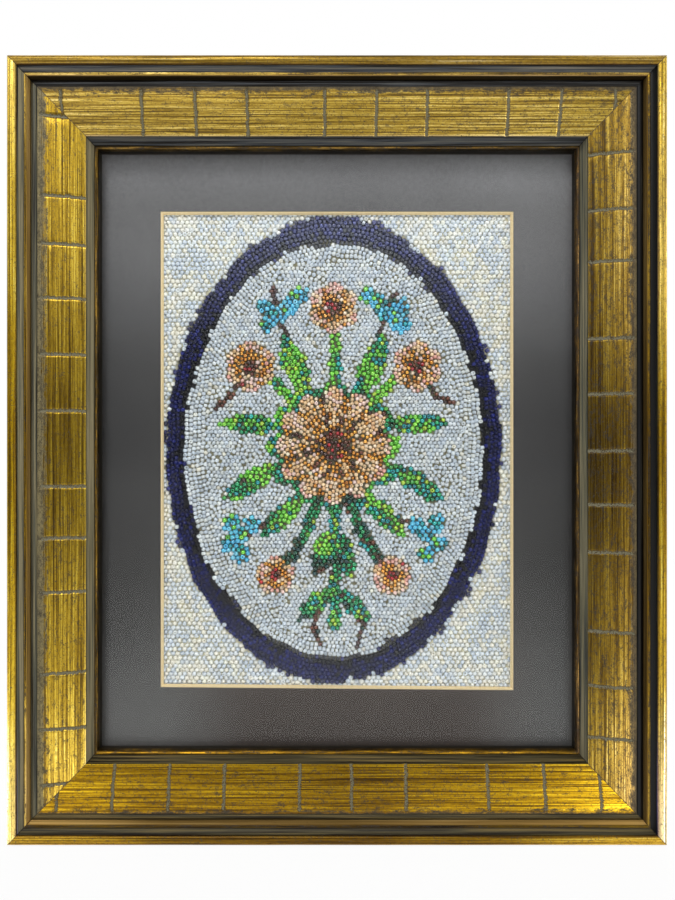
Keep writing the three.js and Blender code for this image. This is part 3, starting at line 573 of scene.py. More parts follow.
def buildRail(side, rail):
    bodyHalf, acrossHalf = moulding[rail["bodyHalf"]], moulding[rail["acrossHalf"]]
    width, radius, seed = moulding["width"], moulding["cornerRadius"], rail["seed"]
    outerHalf = bodyHalf + width
    cuts = [share * 2 * outerHalf for share in rail["cuts"]]
    step = 2 * outerHalf / round(2 * outerHalf / moulding["stationStep"])
    stations = list(np.arange(-outerHalf, outerHalf + 0.001, step))
    for centre in cuts:
        stations = [s for s in stations if abs(s - centre) > 1.5]
        stations += [centre + offset for offset in (-1.4, -1.0, -0.7, -0.4, -0.13, 0.13, 0.4, 0.7, 1.0, 1.4)]
    for back in (0.3 * radius, 0.45 * radius, 0.7 * radius, radius):
        stations += [back - outerHalf, outerHalf - back]
    points = [curvePoint(start, pull, end, step / steps) + (name,)
              for name, start, pull, end, steps in mouldingStretches for step in range(steps)]
    materials = [woodMaterials["upright" if rail["along"][1] else "level"]]
    materials += dict.fromkeys(stretchFinish.values())

    mesh = bmesh.new()
    layers = {name: getattr(mesh.verts.layers, kind).new(name) for name, kind in (
        ("place", "float_vector"), ("cut", "float"), ("patina", "float_color"), ("waxTone", "float_color"),
        ("margin", "float"), ("grime", "float"), ("haze", "float"), ("mitre", "float"))}
    grid = []
    for station in sorted(s for s in stations if abs(s) <= outerHalf + 0.001):
        row = []
        for across, rise, name in points:
            forward = moulding["lipFront"] + rise
            limit = bodyHalf + min(across, width - (1 - math.sqrt(0.5)) * radius)
            along = clamp(station, -limit, limit)
            toCorner = radius - (outerHalf - abs(along))
            if toCorner > 0:  # the outer corner is worn round
                across = min(across, width - radius + math.sqrt(max(0, radius ** 2 - toCorner ** 2)))
            depth = cutShape(along, across, cuts, seed) if name in ("panel", "band", "groove") else 0
            swell = -depth * moulding["cutDepth"]
            if name not in ("wood", "side", "lipWall"):
                swell += moulding["unevenness"] * noise.noise(Vector((along * 0.12, across * 0.8, seed)))
            x, height = (along * a + (acrossHalf + across) * b for a, b in zip(rail["along"], rail["out"]))
            vert = mesh.verts.new(spot(x, forward + swell, height))
            share = (along / outerHalf + 1) / 2
            fade = 1 - rail["marginFade"] * clamp((across - rail["marginFrom"]) / moulding["marginWidth"])
            edge = 0
            if name == "cove":  # the cove is paler in its middle and darker at both edges as painted sheen
                edge = abs(2 * (across - moulding["coveFrom"]) / moulding["coveWidth"] - 1)
            for layer, value in dict(
                    place=(along + 400 * seed, across, forward), cut=depth,
                    patina=toningAndLightOf(rail, name, along, across, share) + (1,),
                    # the margin wax's colour per rail: real wax, paler on the side rails as painted sheen
                    waxTone=[part * fade for part in hexColour(rail["marginTone"])],
                    margin=across - rail["marginFrom"] if name in ("panel", "groove") else -20,
                    grime=toneAlong(rail["grime"], share), haze=rail["haze"].get(name, 0) - 0.35 * edge ** 3,
                    mitre=bodyHalf + across - abs(along)).items():
                vert[layers[layer]] = value
            row.append(vert)
        grid.append(row)
    for row, after in zip(grid, grid[1:]):
        for j, (_, _, name) in enumerate(points):
            k = (j + 1) % len(points)
            face = mesh.faces.new((row[j], row[k], after[k], after[j]))
            face.material_index = materials.index(stretchFinish[name]) if name in stretchFinish else 0
            face.smooth = name != "wood"
    bmesh.ops.remove_doubles(mesh, verts=mesh.verts, dist=0.01 * mm)
    openEdges = [edge for edge in mesh.edges if edge.is_boundary]
    caps = bmesh.ops.holes_fill(mesh, edges=openEdges, sides=0)["faces"]
    for face in caps:
        face.material_index = 0
        face.smooth = False
    bmesh.ops.triangulate(mesh, faces=caps)
    bmesh.ops.recalc_face_normals(mesh, faces=mesh.faces)
    softened(mesh, 38)
    return objectFrom(mesh, "moulding_" + side, *materials)


def nailCutter(mesh, node, clearance):
    # the slot that a corner nail stands in: its own shape, a little wider and open to the back
    nail = welded(node)
    middle = sum((v.co for v in nail.verts), Vector()) / len(nail.verts)
    for vert, target in [(v, v.co + v.normal * clearance * mm) for v in nail.verts]:
        vert.co = target
        if target.y > middle.y:
            vert.co.y = (backY + 1) * mm
    nail.to_mesh(mesh)
    nail.free()


def carveBack(piece):
    # slots and holes in the back of a rail, cut by one cutter object
    parts = bmesh.new()
    scratch = bpy.data.meshes.new("scratch")
    for name in cadNodes:
        if name.startswith("corner_nail"):
            nailCutter(scratch, name, moulding["clearance"])
            parts.from_mesh(scratch)
        elif name.startswith(("button_screw", "hanger_nail")):
            radius = moulding["screwHole" if name.startswith("button") else "nailHole"] * mm
            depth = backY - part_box(name)[0].y / mm + moulding["clearance"]
            made = bmesh.ops.create_cone(
                parts, cap_ends=True, segments=20, radius1=radius, radius2=radius, depth=(depth + 1) * mm)
            centre = middleOf(name)
            move = Matrix.Translation((centre.x, (backY + (1 - depth) / 2) * mm, centre.z))
            bmesh.ops.transform(parts, matrix=move @ Matrix.Rotation(math.pi / 2, 4, "X"), verts=made["verts"])
    cutter = objectFrom(parts, "cutter")
    modifier = piece.modifiers.new("slots", "BOOLEAN")
    modifier.object, modifier.operation, modifier.solver = cutter, "DIFFERENCE", "EXACT"
    plainCopy(piece)
    bpy.data.objects.remove(cutter)


for side, rail in rails.items():
    piece = buildRail(side, rail)
    carveBack(piece)
    settle(piece, "frame", ["rail_" + side])
    print("rail", side, len(piece.data.polygons), "faces")


# Field of beads

beadSettings = dict(
    radius=1.06, hole=0.22, length=1.76, roundSteps=8, acrossSteps=6,
    centre=7.78, heightSpread=0.13,
    beadPitch=1.97, rowPitch=1.93, cornerPitch=2.1,
    fieldHalfWidth=76.7, fieldHalfHeight=103.0,
    ovalHalfWidth=71.6, ovalHalfHeight=99.2, ovalMean=84, ovalShift=-1.4, ovalBand=9.3, wave=0.45, waves=24,
    sprayReach=89.25, sprayWidth=0.698, fillHalfWidth=63.3, fillHalfHeight=90.9, twigReach=1.15,
    bandRows=5, groundRows=4, scatter=0.17, looseScatter=0.3,
    firstShare=0.7, firstRounds=18,  # how near the first beads may lie, and how often they push apart
    fillShares=(0.78, 0.76, 0.76), fillRounds=24,
    seed=11,
)
# Flowers: centre and radius as shares of the spray, the number of petals, and how deep the petals part
flowers = dict(
    beads_dahlia_heart=dict(share=(0, 0.02), radius=0.074, petals=12),
    beads_dahlia_ring=dict(share=(0, 0.02), radius=0.17, petals=12),
    beads_dahlia_petals=dict(share=(0, 0.02), radius=0.283, petals=12),
    beads_blossom_left=dict(share=(-0.57, 0.4), radius=0.124, petals=6),
    beads_blossom_top=dict(share=(0, 0.68), radius=0.124, petals=6),
    beads_blossom_right=dict(share=(0.57, 0.4), radius=0.124, petals=6),
    beads_blossom_low_left=dict(share=(-0.4, -0.6), radius=0.096, petals=5),
    beads_blossom_low_right=dict(share=(0.4, -0.6), radius=0.096, petals=5),
)
petalDepth = 0.09
beadScale = dict(
    dahlia=0.86, blossom=0.86, foliage=1.0, sprig=1.03, oval_band=0.95, oval_ground=0.92, corner=1.0)
rowFields = list(flowers)
fillFields = ["beads_foliage", "beads_sprig_upper_left", "beads_sprig_upper_right",
              "beads_sprig_lower_left", "beads_sprig_lower_right"]
groundFields = ["beads_oval_band", "beads_oval_ground", "beads_corner_ground"]
beadFields = rowFields + fillFields + groundFields
twigs = [
    [(-0.8, 0.2), (-0.68, 0.28), (-0.62, 0.42)], [(0.82, 0.22), (0.7, 0.26), (0.6, 0.38)],
    [(0.3, 0.5), (0.34, 0.62), (0.42, 0.74)], [(-0.28, 0.5), (-0.36, 0.6), (-0.42, 0.78)],
    [(-0.3, -0.3), (-0.5, -0.36), (-0.6, -0.42)], [(0.32, -0.32), (0.52, -0.34), (0.62, -0.4)],
    [(-0.08, -0.7), (-0.14, -0.84), (-0.1, -0.93)], [(0.1, -0.72), (0.2, -0.84), (0.16, -0.94)],
]


def sprayPlace(share):
    reach = beadSettings["sprayReach"]
    return share[0] * beadSettings["sprayWidth"] * reach + beadSettings["ovalShift"], share[1] * reach


def fieldFinder():
    # tells which CAD field of beads lies under a place, or the nearest one where the place is in a seam
    trees = {}
    for name in beadFields:
        mesh = cadNodes[name].data
        trees[name] = BVHTree.FromPolygons(
            [v.co[:] for v in mesh.vertices], [tuple(p.vertices) for p in mesh.polygons])
    down = Vector((0, 1, 0))

    def find(x, z):
        start = spot(x, 20, z)
        for name in beadFields:
            if trees[name].ray_cast(start, down, 0.03)[0] is not None:
                return name
        middle = spot(x, 7.8, z)
        near = [(trees[name].find_nearest(middle, 0.0008)[3] or 1, name) for name in beadFields]
        distance, name = min(near)
        return name if distance < 0.0008 else None
    return find


def scaleOf(field):
    return next(scale for start, scale in beadScale.items() if field.startswith("beads_" + start))


def petalReach(flower, angle):
    dip = 2 * petalDepth * (1 - abs(math.cos(flower["petals"] * angle / 2)))
    return flower["radius"] * beadSettings["sprayReach"] * (1 - dip)


def ovalRow(inset, pitch, phase):
    # beads at even steps along the oval, this far inside its outer edge
    s = beadSettings
    steps = 1440
    ring = []
    for i in range(steps + 1):
        angle = 2 * math.pi * i / steps
        wave = s["wave"] * math.sin(s["waves"] * angle) - inset
        ring.append(((s["ovalHalfWidth"] + wave) * math.cos(angle) + s["ovalShift"],
                     (s["ovalHalfHeight"] + wave) * math.sin(angle)))
    lengths = [0.0]
    for a, b in zip(ring, ring[1:]):
        lengths.append(lengths[-1] + math.dist(a, b))
    count = int(lengths[-1] / pitch)
    made = []
    at = 0
    for k in range(count):
        goal = (k + phase) * lengths[-1] / count
        while at < steps - 1 and lengths[at + 1] < goal:
            at += 1
        a, b = ring[at], ring[at + 1]
        share = (goal - lengths[at]) / max(1e-9, lengths[at + 1] - lengths[at])
        turn = math.atan2(b[1] - a[1], b[0] - a[0])
        made.append((a[0] + (b[0] - a[0]) * share, a[1] + (b[1] - a[1]) * share, turn))
    return made


def lattice(columns, rows, step, rise):
    # staggered rows of places at even steps
    for i in range(-columns, columns + 1):
        for k in range(-rows, rows + 1):
            yield (i + 0.5 * (k % 2)) * step, k * step * rise


def firstPlaces(find, chance):
    # rings in the flowers, rows round the oval, then loose beads side by side in the corners and the rest
    s = beadSettings
    made = []
    pitch = s["beadPitch"]
    row = s["rowPitch"]

    def put(x, z, turn, field):
        made.append((x + chance.gauss(0, s["scatter"]), z + chance.gauss(0, s["scatter"]), turn, field))

    for name, flower in flowers.items():
        centreX, centreZ = sprayPlace(flower["share"])
        outer = flower["radius"] * s["sprayReach"]
        scale = scaleOf(name)
        depth = row * scale / 2
        while depth < outer:
            count = max(1, int(2 * math.pi * (outer - depth) / pitch / scale))
            for k in range(count):
                angle = 2 * math.pi * (k + chance.random() * 0.3) / count
                reach = petalReach(flower, angle) - depth
                x = centreX + reach * math.sin(angle)
                z = centreZ + reach * math.cos(angle)
                if reach > 0 and find(x, z) == name:
                    put(x, z, -angle, name)
            depth += row * scale
    band = s["ovalBand"]
    for k in range(s["bandRows"]):
        inset = band * (k + 0.5) / s["bandRows"]
        for x, z, turn in ovalRow(inset, pitch * beadScale["oval_band"], chance.random()):
            if find(x, z) == "beads_oval_band":
                put(x, z, turn + chance.gauss(0, 0.9), "beads_oval_band")
    ground = beadScale["oval_ground"]
    for k in range(s["groundRows"]):
        for x, z, turn in ovalRow(band + row * ground * (k + 0.5), pitch * ground, chance.random()):
            if find(x, z) == "beads_oval_ground":
                put(x, z, turn, "beads_oval_ground")
    for x, z in lattice(38, 57, s["cornerPitch"], 0.88):
        outside = (x / (s["ovalHalfWidth"] - 8)) ** 2 + (z / (s["ovalHalfHeight"] - 8)) ** 2 > 1
        if outside and find(x, z) == "beads_corner_ground":
            put(x, z, chance.random() * math.pi, "beads_corner_ground")
    for x, z in lattice(44, 62, pitch * ground, 0.87):
        x, z = x + chance.gauss(0, s["looseScatter"]), z + chance.gauss(0, s["looseScatter"])
        if ((x - s["ovalShift"]) / s["fillHalfWidth"]) ** 2 + (z / s["fillHalfHeight"]) ** 2 <= 1:
            field = find(x, z)
            if field in fillFields or field == "beads_oval_ground":
                made.append((x, z, chance.random() * math.pi, field))
    return made


def nearTree(places):
    # finds what lies near a place
    tree = kdtree.KDTree(len(places))
    for index, place in enumerate(places):
        tree.insert((place[0], place[1], 0), index)
    tree.balance()
    return tree


def keepApart(made, share):
    # a later bead that lies on an earlier one goes
    tree = nearTree(made)
    gone = set()
    for index, bead in enumerate(made):
        if index in gone:
            continue
        for _, other, distance in tree.find_range((bead[0], bead[1], 0), 2.1 * share):
            if other > index and distance < (scaleOf(bead[3]) + scaleOf(made[other][3])) * share:
                gone.add(other)
    return [bead for index, bead in enumerate(made) if index not in gone]


def relaxed(made, rounds):
    # neighbours that overlap push each other apart
    s = beadSettings
    places = np.array([(bead[0], bead[1]) for bead in made])
    scales = np.array([scaleOf(bead[3]) for bead in made])
    limit = np.array([s["fieldHalfWidth"] - 1, s["fieldHalfHeight"] - 1])
    for turn in range(rounds):
        if turn % 6 == 0:
            tree = nearTree(places)
            pairs = np.array([
                (index, other) for index, (x, z) in enumerate(places)
                for _, other, _ in tree.find_range((x, z, 0), 2.7) if other > index])
            gap = (scales[pairs[:, 0]] + scales[pairs[:, 1]]) * 0.985
        apart = places[pairs[:, 1]] - places[pairs[:, 0]]
        distance = np.maximum(np.linalg.norm(apart, axis=1), 1e-6)
        push = (np.maximum(0, gap - distance) / distance * 0.28)[:, None] * apart
        move = np.zeros_like(places)
        np.add.at(move, pairs[:, 0], -push)
        np.add.at(move, pairs[:, 1], push)
        places = np.clip(places + move, -limit, limit)
    return [(float(x), float(z), bead[2], bead[3]) for (x, z), bead in zip(places, made)]


def holesFilled(made, find, share, chance):
    # a bead goes into every gap that one fits
    s = beadSettings
    tree = nearTree(made)
    extra = []
    step = 0.55
    across = int((s["fieldHalfWidth"] - 1.1) / step)
    upright = int((s["fieldHalfHeight"] - 1.1) / step)
    for i in range(-across, across + 1):
        for k in range(-upright, upright + 1):
            x, z = i * step, k * step
            _, other, distance = tree.find((x, z, 0))
            if distance > 1.2:
                field = find(x, z)
                if field and distance > (scaleOf(field) + scaleOf(made[other][3])) * share:
                    extra.append((x, z, chance.random() * math.pi, field))
    extra.sort(key=lambda bead: -tree.find((bead[0], bead[1], 0))[2])
    return made + keepApart(extra, 0.85)


def beadLayout():
    chance = random.Random(beadSettings["seed"])
    find = fieldFinder()
    s = beadSettings
    made = relaxed(keepApart(firstPlaces(find, chance), s["firstShare"]), s["firstRounds"])
    for share in s["fillShares"]:
        made = relaxed(holesFilled(made, find, share, chance), s["fillRounds"])
    return made


palettes = dict(
    pearl=["#e1e8f0", "#d8e1ec", "#ebf0f5", "#d1dbe8", "#dfe7ef", "#e6eaeb"],
    cream=["#f6f2e5", "#f0f0ea", "#f9f5e7", "#eaeef0", "#e2e8ef", "#f3f0e7"],
    navy=["#171d5c", "#121750", "#202874", "#0e123e", "#161b56"],
    black=["#0c0c11", "#101118", "#13131b"],
    petal=["#f0d0a6", "#ecc593", "#f6dfc4", "#e8bb8c", "#f3d6cf"],
    blush=["#eebdb2", "#f2cfc6", "#e7a99c"],
    gold=["#c98e38", "#b97c2a", "#d9a24a", "#a96d24"],
    brown=["#5c2d1d", "#431f18", "#6e3b25", "#381a16"],
    red=["#b2232b", "#8f1d24"],
    lime=["#7ad343", "#8fdc4e", "#67c13a"],
    leaf=["#a9c93c", "#5fae3a", "#3f9a45"],
    emerald=["#1f8f57", "#18774c", "#2a9c66"],
    deep=["#0f4a37", "#0c3a2e", "#123f3f"],
    teal=["#1f8f96", "#2aa6a0", "#1b7480"],
    sky=["#5cc4ea", "#48b2dc", "#7fd3ef", "#63cbe6"],
)
lustreOf = dict(pearl=0, cream=0, navy=0.1, black=0.15, petal=0.12, blush=0.1, gold=0.75, brown=0.3, red=0.35,
                lime=0.25, leaf=0.3, emerald=0.5, deep=0.45, teal=0.45, sky=0.15)


def flowerPlace(flower, x, z):
    # how far out a place lies in its flower, and how near to the middle line of a petal
    centreX, centreZ = sprayPlace(flower["share"])
    dx, dz = x - centreX, z - centreZ
    ridge = abs(math.cos(flower["petals"] * math.atan2(dx, dz) / 2))
    return math.hypot(dx, dz) / (flower["radius"] * beadSettings["sprayReach"]), ridge


def nearTwig(x, z):
    for line in twigs:
        points = [sprayPlace(share) for share in line]
        for (ax, az), (bx, bz) in zip(points, points[1:]):
            length = (bx - ax) ** 2 + (bz - az) ** 2
            share = clamp(((x - ax) * (bx - ax) + (z - az) * (bz - az)) / length)
            away = math.hypot(x - ax - share * (bx - ax), z - az - share * (bz - az))
            if away < beadSettings["twigReach"]:
                return True
    return False


def pick(value, *steps):
    # the name after the first limit that the value is under, or else the last name
    for limit, name in zip(steps[::2], steps[1::2]):
        if value < limit:
            return name
    return steps[-1]


def toneName(x, z, field, chance):
    roll = chance.random()
    s = beadSettings
    across = math.hypot((x - s["ovalShift"]) / s["ovalHalfWidth"], z / s["ovalHalfHeight"])
    depth = (1 - across) * s["ovalMean"] / s["ovalBand"]
    wander = 0.22 * noise.noise(Vector((x * 0.17, z * 0.17, 9)))  # of both edges of the band, in its widths
    if field == "beads_corner_ground":
        if depth > -0.03 - wander:
            return "navy"
        return pick(roll, 0.62 + 0.9 * noise.noise(Vector((x * 0.07, z * 0.07, 2))), "cream", "pearl")
    if field == "beads_oval_band":
        if depth < 0.03 - wander or depth > 1 - wander:
            return "pearl"
        inward = depth + wander
        return pick(roll, 0.85 if inward > 0.76 else 0.14 if inward > 0.56 else 0.02, "black", "navy")
    if field == "beads_oval_ground":
        if nearTwig(x, z):
            return pick(roll, 0.85, "brown", "deep")
        return pick(roll, 0.8, "black", "navy") if depth < 1.02 - wander else pick(roll, 0.94, "pearl", "cream")
    if field.startswith("beads_sprig"):
        return pick(roll, 0.66, "sky", 0.86, "teal", "lime")
    if field == "beads_foliage":
        drift = noise.noise(Vector((x * 0.075, z * 0.075, 4))) + chance.gauss(0, 0.16) + z * 0.0042
        name = pick(drift, -0.42, "deep", -0.1, "emerald", 0.02, "teal", 0.2, "leaf", "lime")
        return "brown" if name == "deep" and roll < 0.22 else name
    reach, ridge = flowerPlace(flowers[field], x, z)
    if field == "beads_dahlia_heart":
        return pick(roll, 0.6, "brown", 0.72, "red", "gold")
    if field == "beads_dahlia_ring":
        return pick(roll, 0.55, "brown", "gold") if ridge < 0.45 else pick(roll, 0.45, "gold", "petal")
    if field == "beads_dahlia_petals":
        if ridge < 0.4:
            return pick(roll, 0.62, "gold", 0.78, "brown", "petal")
        return "blush" if reach > 0.88 and roll < 0.45 else pick(roll, 0.12, "gold", "petal")
    if reach < 0.3:
        return pick(roll, 0.55, "brown", "red")
    if reach < 0.62:
        return pick(roll, 0.7, "gold", "petal")
    return pick(roll, 0.6, "gold", 0.7, "red", "blush") if ridge < 0.3 else pick(roll, 0.4, "blush", "petal")


def beadTree():
    # one bead: a short pierced drum with round shoulders, set on every point of the incoming mesh
    tree, sockets, add = newTree("threadedBeads", ["Bead Radius", "Hole Radius", "Bead Length"],
                                 ["Round Steps", "Across Steps"], "Glass")
    given = add("NodeGroupInput").outputs
    middle = add("Math", given["Bead Radius"], given["Hole Radius"], operation="ADD")
    pathRadius = add("Math", middle, 0.5, operation="MULTIPLY")
    wall = add("Math", given["Bead Radius"], given["Hole Radius"], operation="SUBTRACT")
    halfWall = add("Math", wall, 0.5, operation="MULTIPLY")
    halfLength = add("Math", given["Bead Length"], 0.5, operation="MULTIPLY")
    path = add("GeometryNodeCurvePrimitiveCircle", given["Round Steps"], pathRadius)
    rim = add("GeometryNodeCurvePrimitiveCircle", given["Across Steps"], 1)
    size = add("CombineXYZ", halfWall, halfLength, 1)
    section = add("GeometryNodeTransform", {"Geometry": rim, "Scale": size})
    bead = add("GeometryNodeCurveToMesh", path, section)
    smooth = add("GeometryNodeSetShadeSmooth", {"Geometry": bead, "Shade Smooth": True})
    turn = add("GeometryNodeInputNamedAttribute", "turn", data_type="FLOAT_VECTOR")
    spin = add("FunctionNodeEulerToRotation", turn)
    scale = add("GeometryNodeInputNamedAttribute", "size", data_type="FLOAT_VECTOR")
    strung = add("GeometryNodeInstanceOnPoints", {
        "Points": given["Geometry"], "Instance": smooth, "Rotation": spin, "Scale": scale})
    real = add("GeometryNodeRealizeInstances", strung)
    add("NodeGroupOutput", add("GeometryNodeSetMaterial", {"Geometry": real, "Material": given["Glass"]}))
    return tree, sockets


def beadGlass(look):
    # seed bead glass: each bead carries its own colour, with a faint swirl in it and a wet gloss
    material, add = newMaterial(look["name"])
    tone = add("Attribute", attribute_name="tone").outputs["Color"]
    lustre = add("Attribute", attribute_name="lustre").outputs["Fac"]
    where = add("TexCoord").outputs["Object"]
    swirl = add("TexNoise", where, 1 / (0.9 * mm), 2)
    shade = add("MapRange", swirl, 0.3, 0.7, *look["swirl"])
    colour = add("Mix", 1, tone, shade, **multiply)
    rough = add("MapRange", swirl, 0.3, 0.7, look["rough"], look["rough"] + 0.08)
    add("OutputMaterial", add("BsdfPrincipled", {
        "Base Color": colour, "Metallic": lustre, "Roughness": rough, "IOR": 1.52,
        "Specular IOR Level": look["gloss"], "Coat Weight": look["coat"], "Coat Roughness": 0.06}))
    return material


beadMaterials = dict(
    pearl=beadGlass(dict(name="pearlSeedBead", rough=0.3, coat=0.4, gloss=0.5, swirl=(0.88, 1.06))),
    opaque=beadGlass(dict(name="cutNavySeedBead", rough=0.1, coat=0, gloss=0.24, swirl=(0.6, 1.3))),
    lined=beadGlass(dict(name="silverLinedSeedBead", rough=0.2, coat=0.5, gloss=0.5, swirl=(0.7, 1.2))),
)


def stringBeads(name, node, beads, glass, chance, tree, sockets):
    s = beadSettings
    heights = [s["centre"] + clamp(chance.gauss(0, s["heightSpread"]), -0.2, 0.25) for _ in beads]
    mesh = bpy.data.meshes.new(name)
    mesh.from_pydata([spot(x, height, z) for (x, z, turn, tone), height in zip(beads, heights)], [], [])
    turns, sizes, tones, lustres = [], [], [], []
    for x, z, turn, tone in beads:
        axis = Vector((math.cos(turn), 0, math.sin(turn)))
        if chance.random() < (0.05 if node.endswith("ground") else 0.1):  # some lie flat and show their hole
            axis = Vector((chance.gauss(0, 0.3), -1, chance.gauss(0, 0.3)))
        axis += Vector((chance.gauss(0, 0.27), chance.gauss(0, 0.27), chance.gauss(0, 0.27)))
        turns += Vector((0, 0, 1)).rotation_difference(axis.normalized()).to_euler()
        grow = scaleOf(node) * (1 + clamp(chance.gauss(0, 0.045), -0.1, 0.09))
        sizes += [grow, grow, grow * (1 + chance.gauss(0, 0.07))]
        colour = hexColour(chance.choice(palettes[tone]))
        spread = 0.06 if "corner" in node else 0.09
        level = (0.93 if node == "beads_oval_ground" else 1) + chance.gauss(0, spread)
        # painted reflection of the room's light, added to the colour of the upper and the lowest beads
        paintedGlare = (0.14 if node == "beads_oval_band" else 0.1) * clamp((z - 40) / 52) ** 1.3
        paintedGlare += 0.035 * clamp((-z - 60) / 35)
        tones += [clamp(part * level + paintedGlare * share) for part, share in zip(colour, (0.9, 0.95, 1.1))] + [1]
        lustres.append(clamp(lustreOf[tone] + chance.gauss(0, 0.05)))
    for label, kind, field, values in (("turn", "FLOAT_VECTOR", "vector", turns),
                                       ("size", "FLOAT_VECTOR", "vector", sizes),
                                       ("tone", "FLOAT_COLOR", "color", tones),
                                       ("lustre", "FLOAT", "value", lustres)):
        mesh.attributes.new(label, kind, "POINT").data.foreach_set(field, values)
    piece = newObject(name, mesh)
    runTree(piece, tree, sockets, {
        "Bead Radius": s["radius"] * mm, "Hole Radius": s["hole"] * mm, "Bead Length": s["length"] * mm,
        "Round Steps": s["roundSteps"], "Across Steps": s["acrossSteps"], "Glass": glass})
    for label in ("turn", "size"):
        piece.data.attributes.remove(piece.data.attributes[label])
    settle(piece, "frame", [node])


def buildBeads():
    chance = random.Random(beadSettings["seed"] + 1)
    layout = beadLayout()
    tree, sockets = beadTree()
    fields = {name: [] for name in beadFields}
    for x, z, turn, field in layout:
        fields[field].append((x, z, turn, toneName(x, z, field, chance)))
    for node, beads in fields.items():
        kind = "pearl" if node.endswith("ground") else "opaque" if node == "beads_oval_band" else "lined"
        name = node.replace("beads_", "seedBeads_")
        parts = {name: beads}
        if node.endswith("ground"):  # in two halves, to keep each piece light
            parts = {name + "_left": [bead for bead in beads if bead[0] < 0],
                     name + "_right": [bead for bead in beads if bead[0] >= 0]}
        for label, some in parts.items():
            stringBeads(label, node, some, beadMaterials[kind], chance, tree, sockets)
    print("beads strung:", len(layout))


buildBeads()


# Sheets in the rabbet

def paperFinish():
    # uncoated mat board paper, charcoal: short fibres, a slight mottle, no shine; lighter towards the top and
    # the bottom as painted reflection of the room in the glass
    material, add = newMaterial("charcoalMatPaper")
    where = add("TexCoord").outputs["Object"]
    fibre = add("TexNoise", where, 1 / (1.3 * mm), 3, 0.6)
    mottle = add("TexNoise", where, 1 / (45 * mm), 2)
    share = add("Math", mottle, 0.5, fibre, operation="MULTIPLY_ADD")
    axes = add("SeparateXYZ", where)
    rise = add("MapRange", axes.outputs["Z"], (middleZ - 127) * mm, (middleZ + 127) * mm, 0, 1)
    grey = add("ValToRGB", rise, ramp=[
        (0.05, "#656464"), (0.2, "#4e4d4d"), (0.29, "#424141"), (0.55, "#403f40"), (0.64, "#484748"),
        (0.74, "#5b5a5c"), (0.83, "#6a696b"), (0.9, "#6c6b6d"), (0.97, "#7b7a7d")])
    # the browner patch low in the middle
    shifted = add("Math", axes.outputs["X"], 8 * mm, operation="SUBTRACT")
    offAxis = add("Math", shifted, operation="ABSOLUTE")
    inner = add("MapRange", offAxis, 88 * mm, 40 * mm, 0, 1, interpolation_type="SMOOTHSTEP")
    low = add("MapRange", rise, 0.3, 0.1, 0, 1)
    patch = add("Math", inner, low, operation="MULTIPLY")
    browned = add("Mix", patch, grey, "#4b4441", **blend)
    # painted reflection, brighter at the upper right
    right = add("MapRange", axes.outputs["X"], 45 * mm, 88 * mm, 0, 0.27)
    upper = add("MapRange", rise, 0.55, 0.72, 0, 1)
    fibres = add("MapRange", share, 0.5, 1, 0.84, 1.16)
    grain = add("Math", right, upper, fibres, operation="MULTIPLY_ADD")
    colour = add("Mix", 1, browned, grain, **multiply)
    bump = add("Bump", {"Strength": 0.25, "Distance": 3e-05, "Height": fibre})
    add("OutputMaterial", add("BsdfPrincipled", {
        "Base Color": colour, "Roughness": 0.94, "Specular IOR Level": 0.25, "Normal": bump}))
    return material


def grainyFinish(look):
    # one noise, its size in mm, gives the colour, the relief where there is any, and a metal's dulled patches
    material, add = newMaterial(look["name"])
    where = add("TexCoord").outputs["Object"]
    grain = add("TexNoise", where, 1 / (look["size"] * mm), look["detail"], look.get("crumb", 0.5))
    shader = {"Base Color": add("ValToRGB", grain, ramp=look["ramp"]), "Roughness": look["rough"]}
    if look.get("metal"):
        shader["Metallic"] = 1
        shader["Roughness"] = add("MapRange", grain, 0.3, 0.7, look["rough"], look["rough"] + 0.2)
    if look.get("relief"):
        strength, height = look["relief"]
        shader["Normal"] = add("Bump", {"Strength": strength, "Distance": height * mm, "Height": grain})
    add("OutputMaterial", add("BsdfPrincipled", shader))
    return material


def hardboardFinish():
    # pressed hardboard: brown fibres, the wire screen's print at about 1.6 mm on its rough side
    material, add = newMaterial("pressedHardboard")
    where = add("TexCoord").outputs["Object"]
    fibre = add("TexNoise", where, 1 / (1.4 * mm), 5, 0.7)
    cloud = add("TexNoise", where, 1 / (30 * mm), 2)
    share = add("Math", cloud, 0.45, fibre, operation="MULTIPLY_ADD")
    colour = add("ValToRGB", share, ramp=[(0.45, "#4f3421"), (0.7, "#6f4c31"), (0.95, "#8b6644")])
    wires = [
        add("TexWave", {"Vector": where, "Scale": 200, "Distortion": 0.4}, bands_direction=direction)
        for direction in ("X", "Z")]
    screen = add("Math", wires[0].outputs["Fac"], wires[1].outputs["Fac"], operation="MULTIPLY")
    relief = add("Math", fibre, 0.7, screen, operation="MULTIPLY_ADD")
    bump = add("Bump", {"Strength": 0.5, "Distance": 0.0003, "Height": relief})
    add("OutputMaterial", add("BsdfPrincipled", {"Base Color": colour, "Roughness": 0.8, "Normal": bump}))
    return material


def glueFinish():
    # aged craft glue: cloudy and yellowed, a dull gloss; its colour, darkened as painted shade between dark
    # beads, given by the piece
    material, add = newMaterial("agedCraftGlue")
    where = add("TexCoord").outputs["Object"]
    tone = add("Attribute", attribute_name="tone").outputs["Color"]
    cloud = add("TexNoise", where, 1 / (2.5 * mm), 4)
    shade = add("MapRange", cloud, 0.3, 0.7, 0.78, 1.12)
    colour = add("Mix", 1, tone, shade, **multiply)
    bump = add("Bump", {"Strength": 0.4, "Distance": 0.0003, "Height": cloud})
    add("OutputMaterial", add("BsdfPrincipled", {"Base Color": colour, "Roughness": 0.45, "Normal": bump}))
    return material


